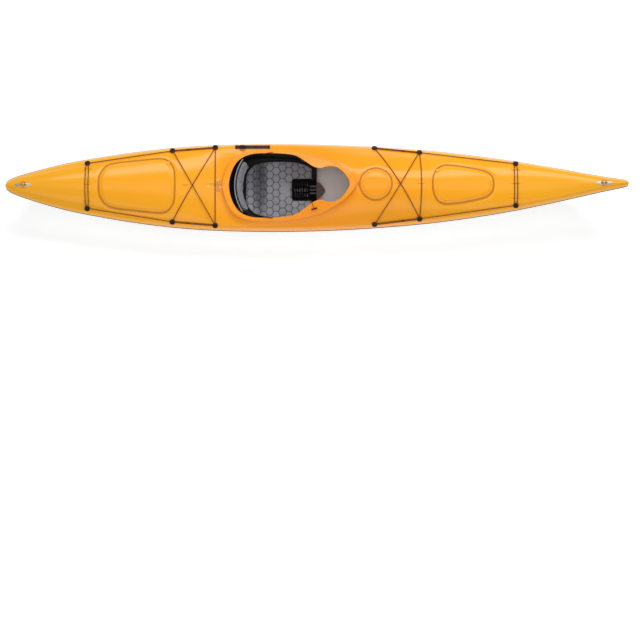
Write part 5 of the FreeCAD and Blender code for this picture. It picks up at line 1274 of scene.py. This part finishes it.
def make_strap_ends():
    """Short tails of the backrest's side straps, lying over the inner edge of the rim."""
    tails = []
    for side in (-1, 1):
        points = []
        for x, y, lift in ((-0.362, 0.2135, 0.024), (-0.352, 0.2185, 0.0345), (-0.335, 0.2225, 0.0352),
                           (-0.318, 0.2250, 0.0352), (-0.300, 0.2275, 0.0350), (-0.296, 0.2300, 0.0350)):
            points.append((x, side * y, deck_z(x, side * y) + lift))
        tails.append(sweep("tail", smooth_run(points, 8), 0.0022, 8, flat=0.7))
    joined("backrest_tails", tails, slot="line", angle=60, look=CORD)


def make_seat_tongue():
    """A thin brown-grey sheet that runs down from the front of the seat towards the floor."""
    vertices = []
    for t in np.linspace(0, 1, 16):
        x = 0.0055 + 0.0595 * t
        w = 0.058 * (1 - t**1.7) + 0.0035
        for v in np.linspace(-1, 1, 15):
            y = w * v
            z = (0.0700 - 0.0500 * t**1.2) - 0.004 * abs(v) ** 2
            vertices.append((x, y, z))
    tongue = make("seat_tongue", vertices, grid_faces(16, 15), slot="black_shell")
    facing(tongue)
    thicken(tongue, 0.0025)
    paint(shade(tongue), TONGUE)


# Build

make_deck()
make_slider_seat()
make_hull()
make_seam()
make_coaming()
for key in HATCHES:
    make_hatch_rim(key)
make_cover("stern", (-1.0165, 0.155))
make_cover("bow", (0.8344, 0.0928))
make_cover("day", (DAY_X + DAY_TAB_RADIUS * math.cos(DAY_TAB_TURN), DAY_TAB_RADIUS * math.sin(DAY_TAB_TURN)))
make_fittings()
make_lines(BOW_ROWS, "bow_perimeter_lines", "bow_lines")
make_lines(STERN_ROWS, "stern_perimeter_lines", "stern_lines")
make_bungees(BOW_ROWS, "bow_deck_bungees", "bow_bungees", BOW_ROWS[1], 0.009)
make_bungees(STERN_ROWS, "stern_deck_bungees", "stern_bungees", STERN_ROWS[0], 0.0)
make_clips()
make_rear_padeye()
make_end_padeye("bow", BOW_EYE_X)
make_end_padeye("stern", STERN_EYE_X)
make_slider()
make_seat_pad()
make_ladder()
make_straps()
make_backrest()
make_pull()
make_strap_ends()
make_seat_tongue()


# Floor, lights and camera

def make_floor():
    """A white floor just under the keel."""
    reach, below = 14.0, 0.0012
    corners = [(x, y, -below) for x, y in oblong(-reach, reach, -reach, reach)]
    floor = make("floor", corners, [(0, 1, 2, 3)])
    skin = Skin("floor_paper", Roughness=0.9, Emission_Color=grey(1.0), Emission_Strength=0.27)
    skin.colour(skin.ramp(skin.noise(0.8), ((0.3, grey(0.95)), (0.7, grey(0.98)))))
    paint(floor, skin.material)


def soft_light(name, place, size, power):
    """A wide lamp that looks at the middle of the boat."""
    lamp = bpy.data.lights.new(name, "AREA")
    lamp.shape = "RECTANGLE"
    lamp.size, lamp.size_y = size
    lamp.energy = power
    holder = placed(name, lamp)
    holder.location = place
    holder.rotation_euler = (Vector((0, 0, 0.2)) - Vector(place)).to_track_quat("-Z", "Y").to_euler()


def make_studio():
    """A white surround and three wide lamps."""
    world = bpy.data.worlds.new("studio")
    bpy.context.scene.world = world
    world.use_nodes = True
    back = world.node_tree.nodes["Background"]
    back.inputs["Color"].default_value = grey(1.0)
    back.inputs["Strength"].default_value = 0.5
    soft_light("key", (0.6, 3.4, 4.2), (6.5, 1.6), 150)
    soft_light("fill", (-0.5, -4.5, 3.6), (6.0, 2.5), 45)
    soft_light("top", (0.0, 0.2, 6.5), (7.0, 3.0), 60)


def make_camera():
    """Straight down on the deck, with the boat in the upper part of the frame."""
    view = bpy.data.cameras.new("camera")
    view.sensor_width = 36.0
    lens_in_picture_widths = 2147 / 640
    view.lens = view.sensor_width * lens_in_picture_widths
    camera = placed("camera", view)
    camera.location = (0.029, -1.85, 15.0)
    camera.rotation_euler = (math.radians(3.595), 0, 0)
    bpy.context.scene.camera = camera
    bpy.context.scene.view_settings.view_transform = "Standard"


make_floor()
make_studio()
make_camera()
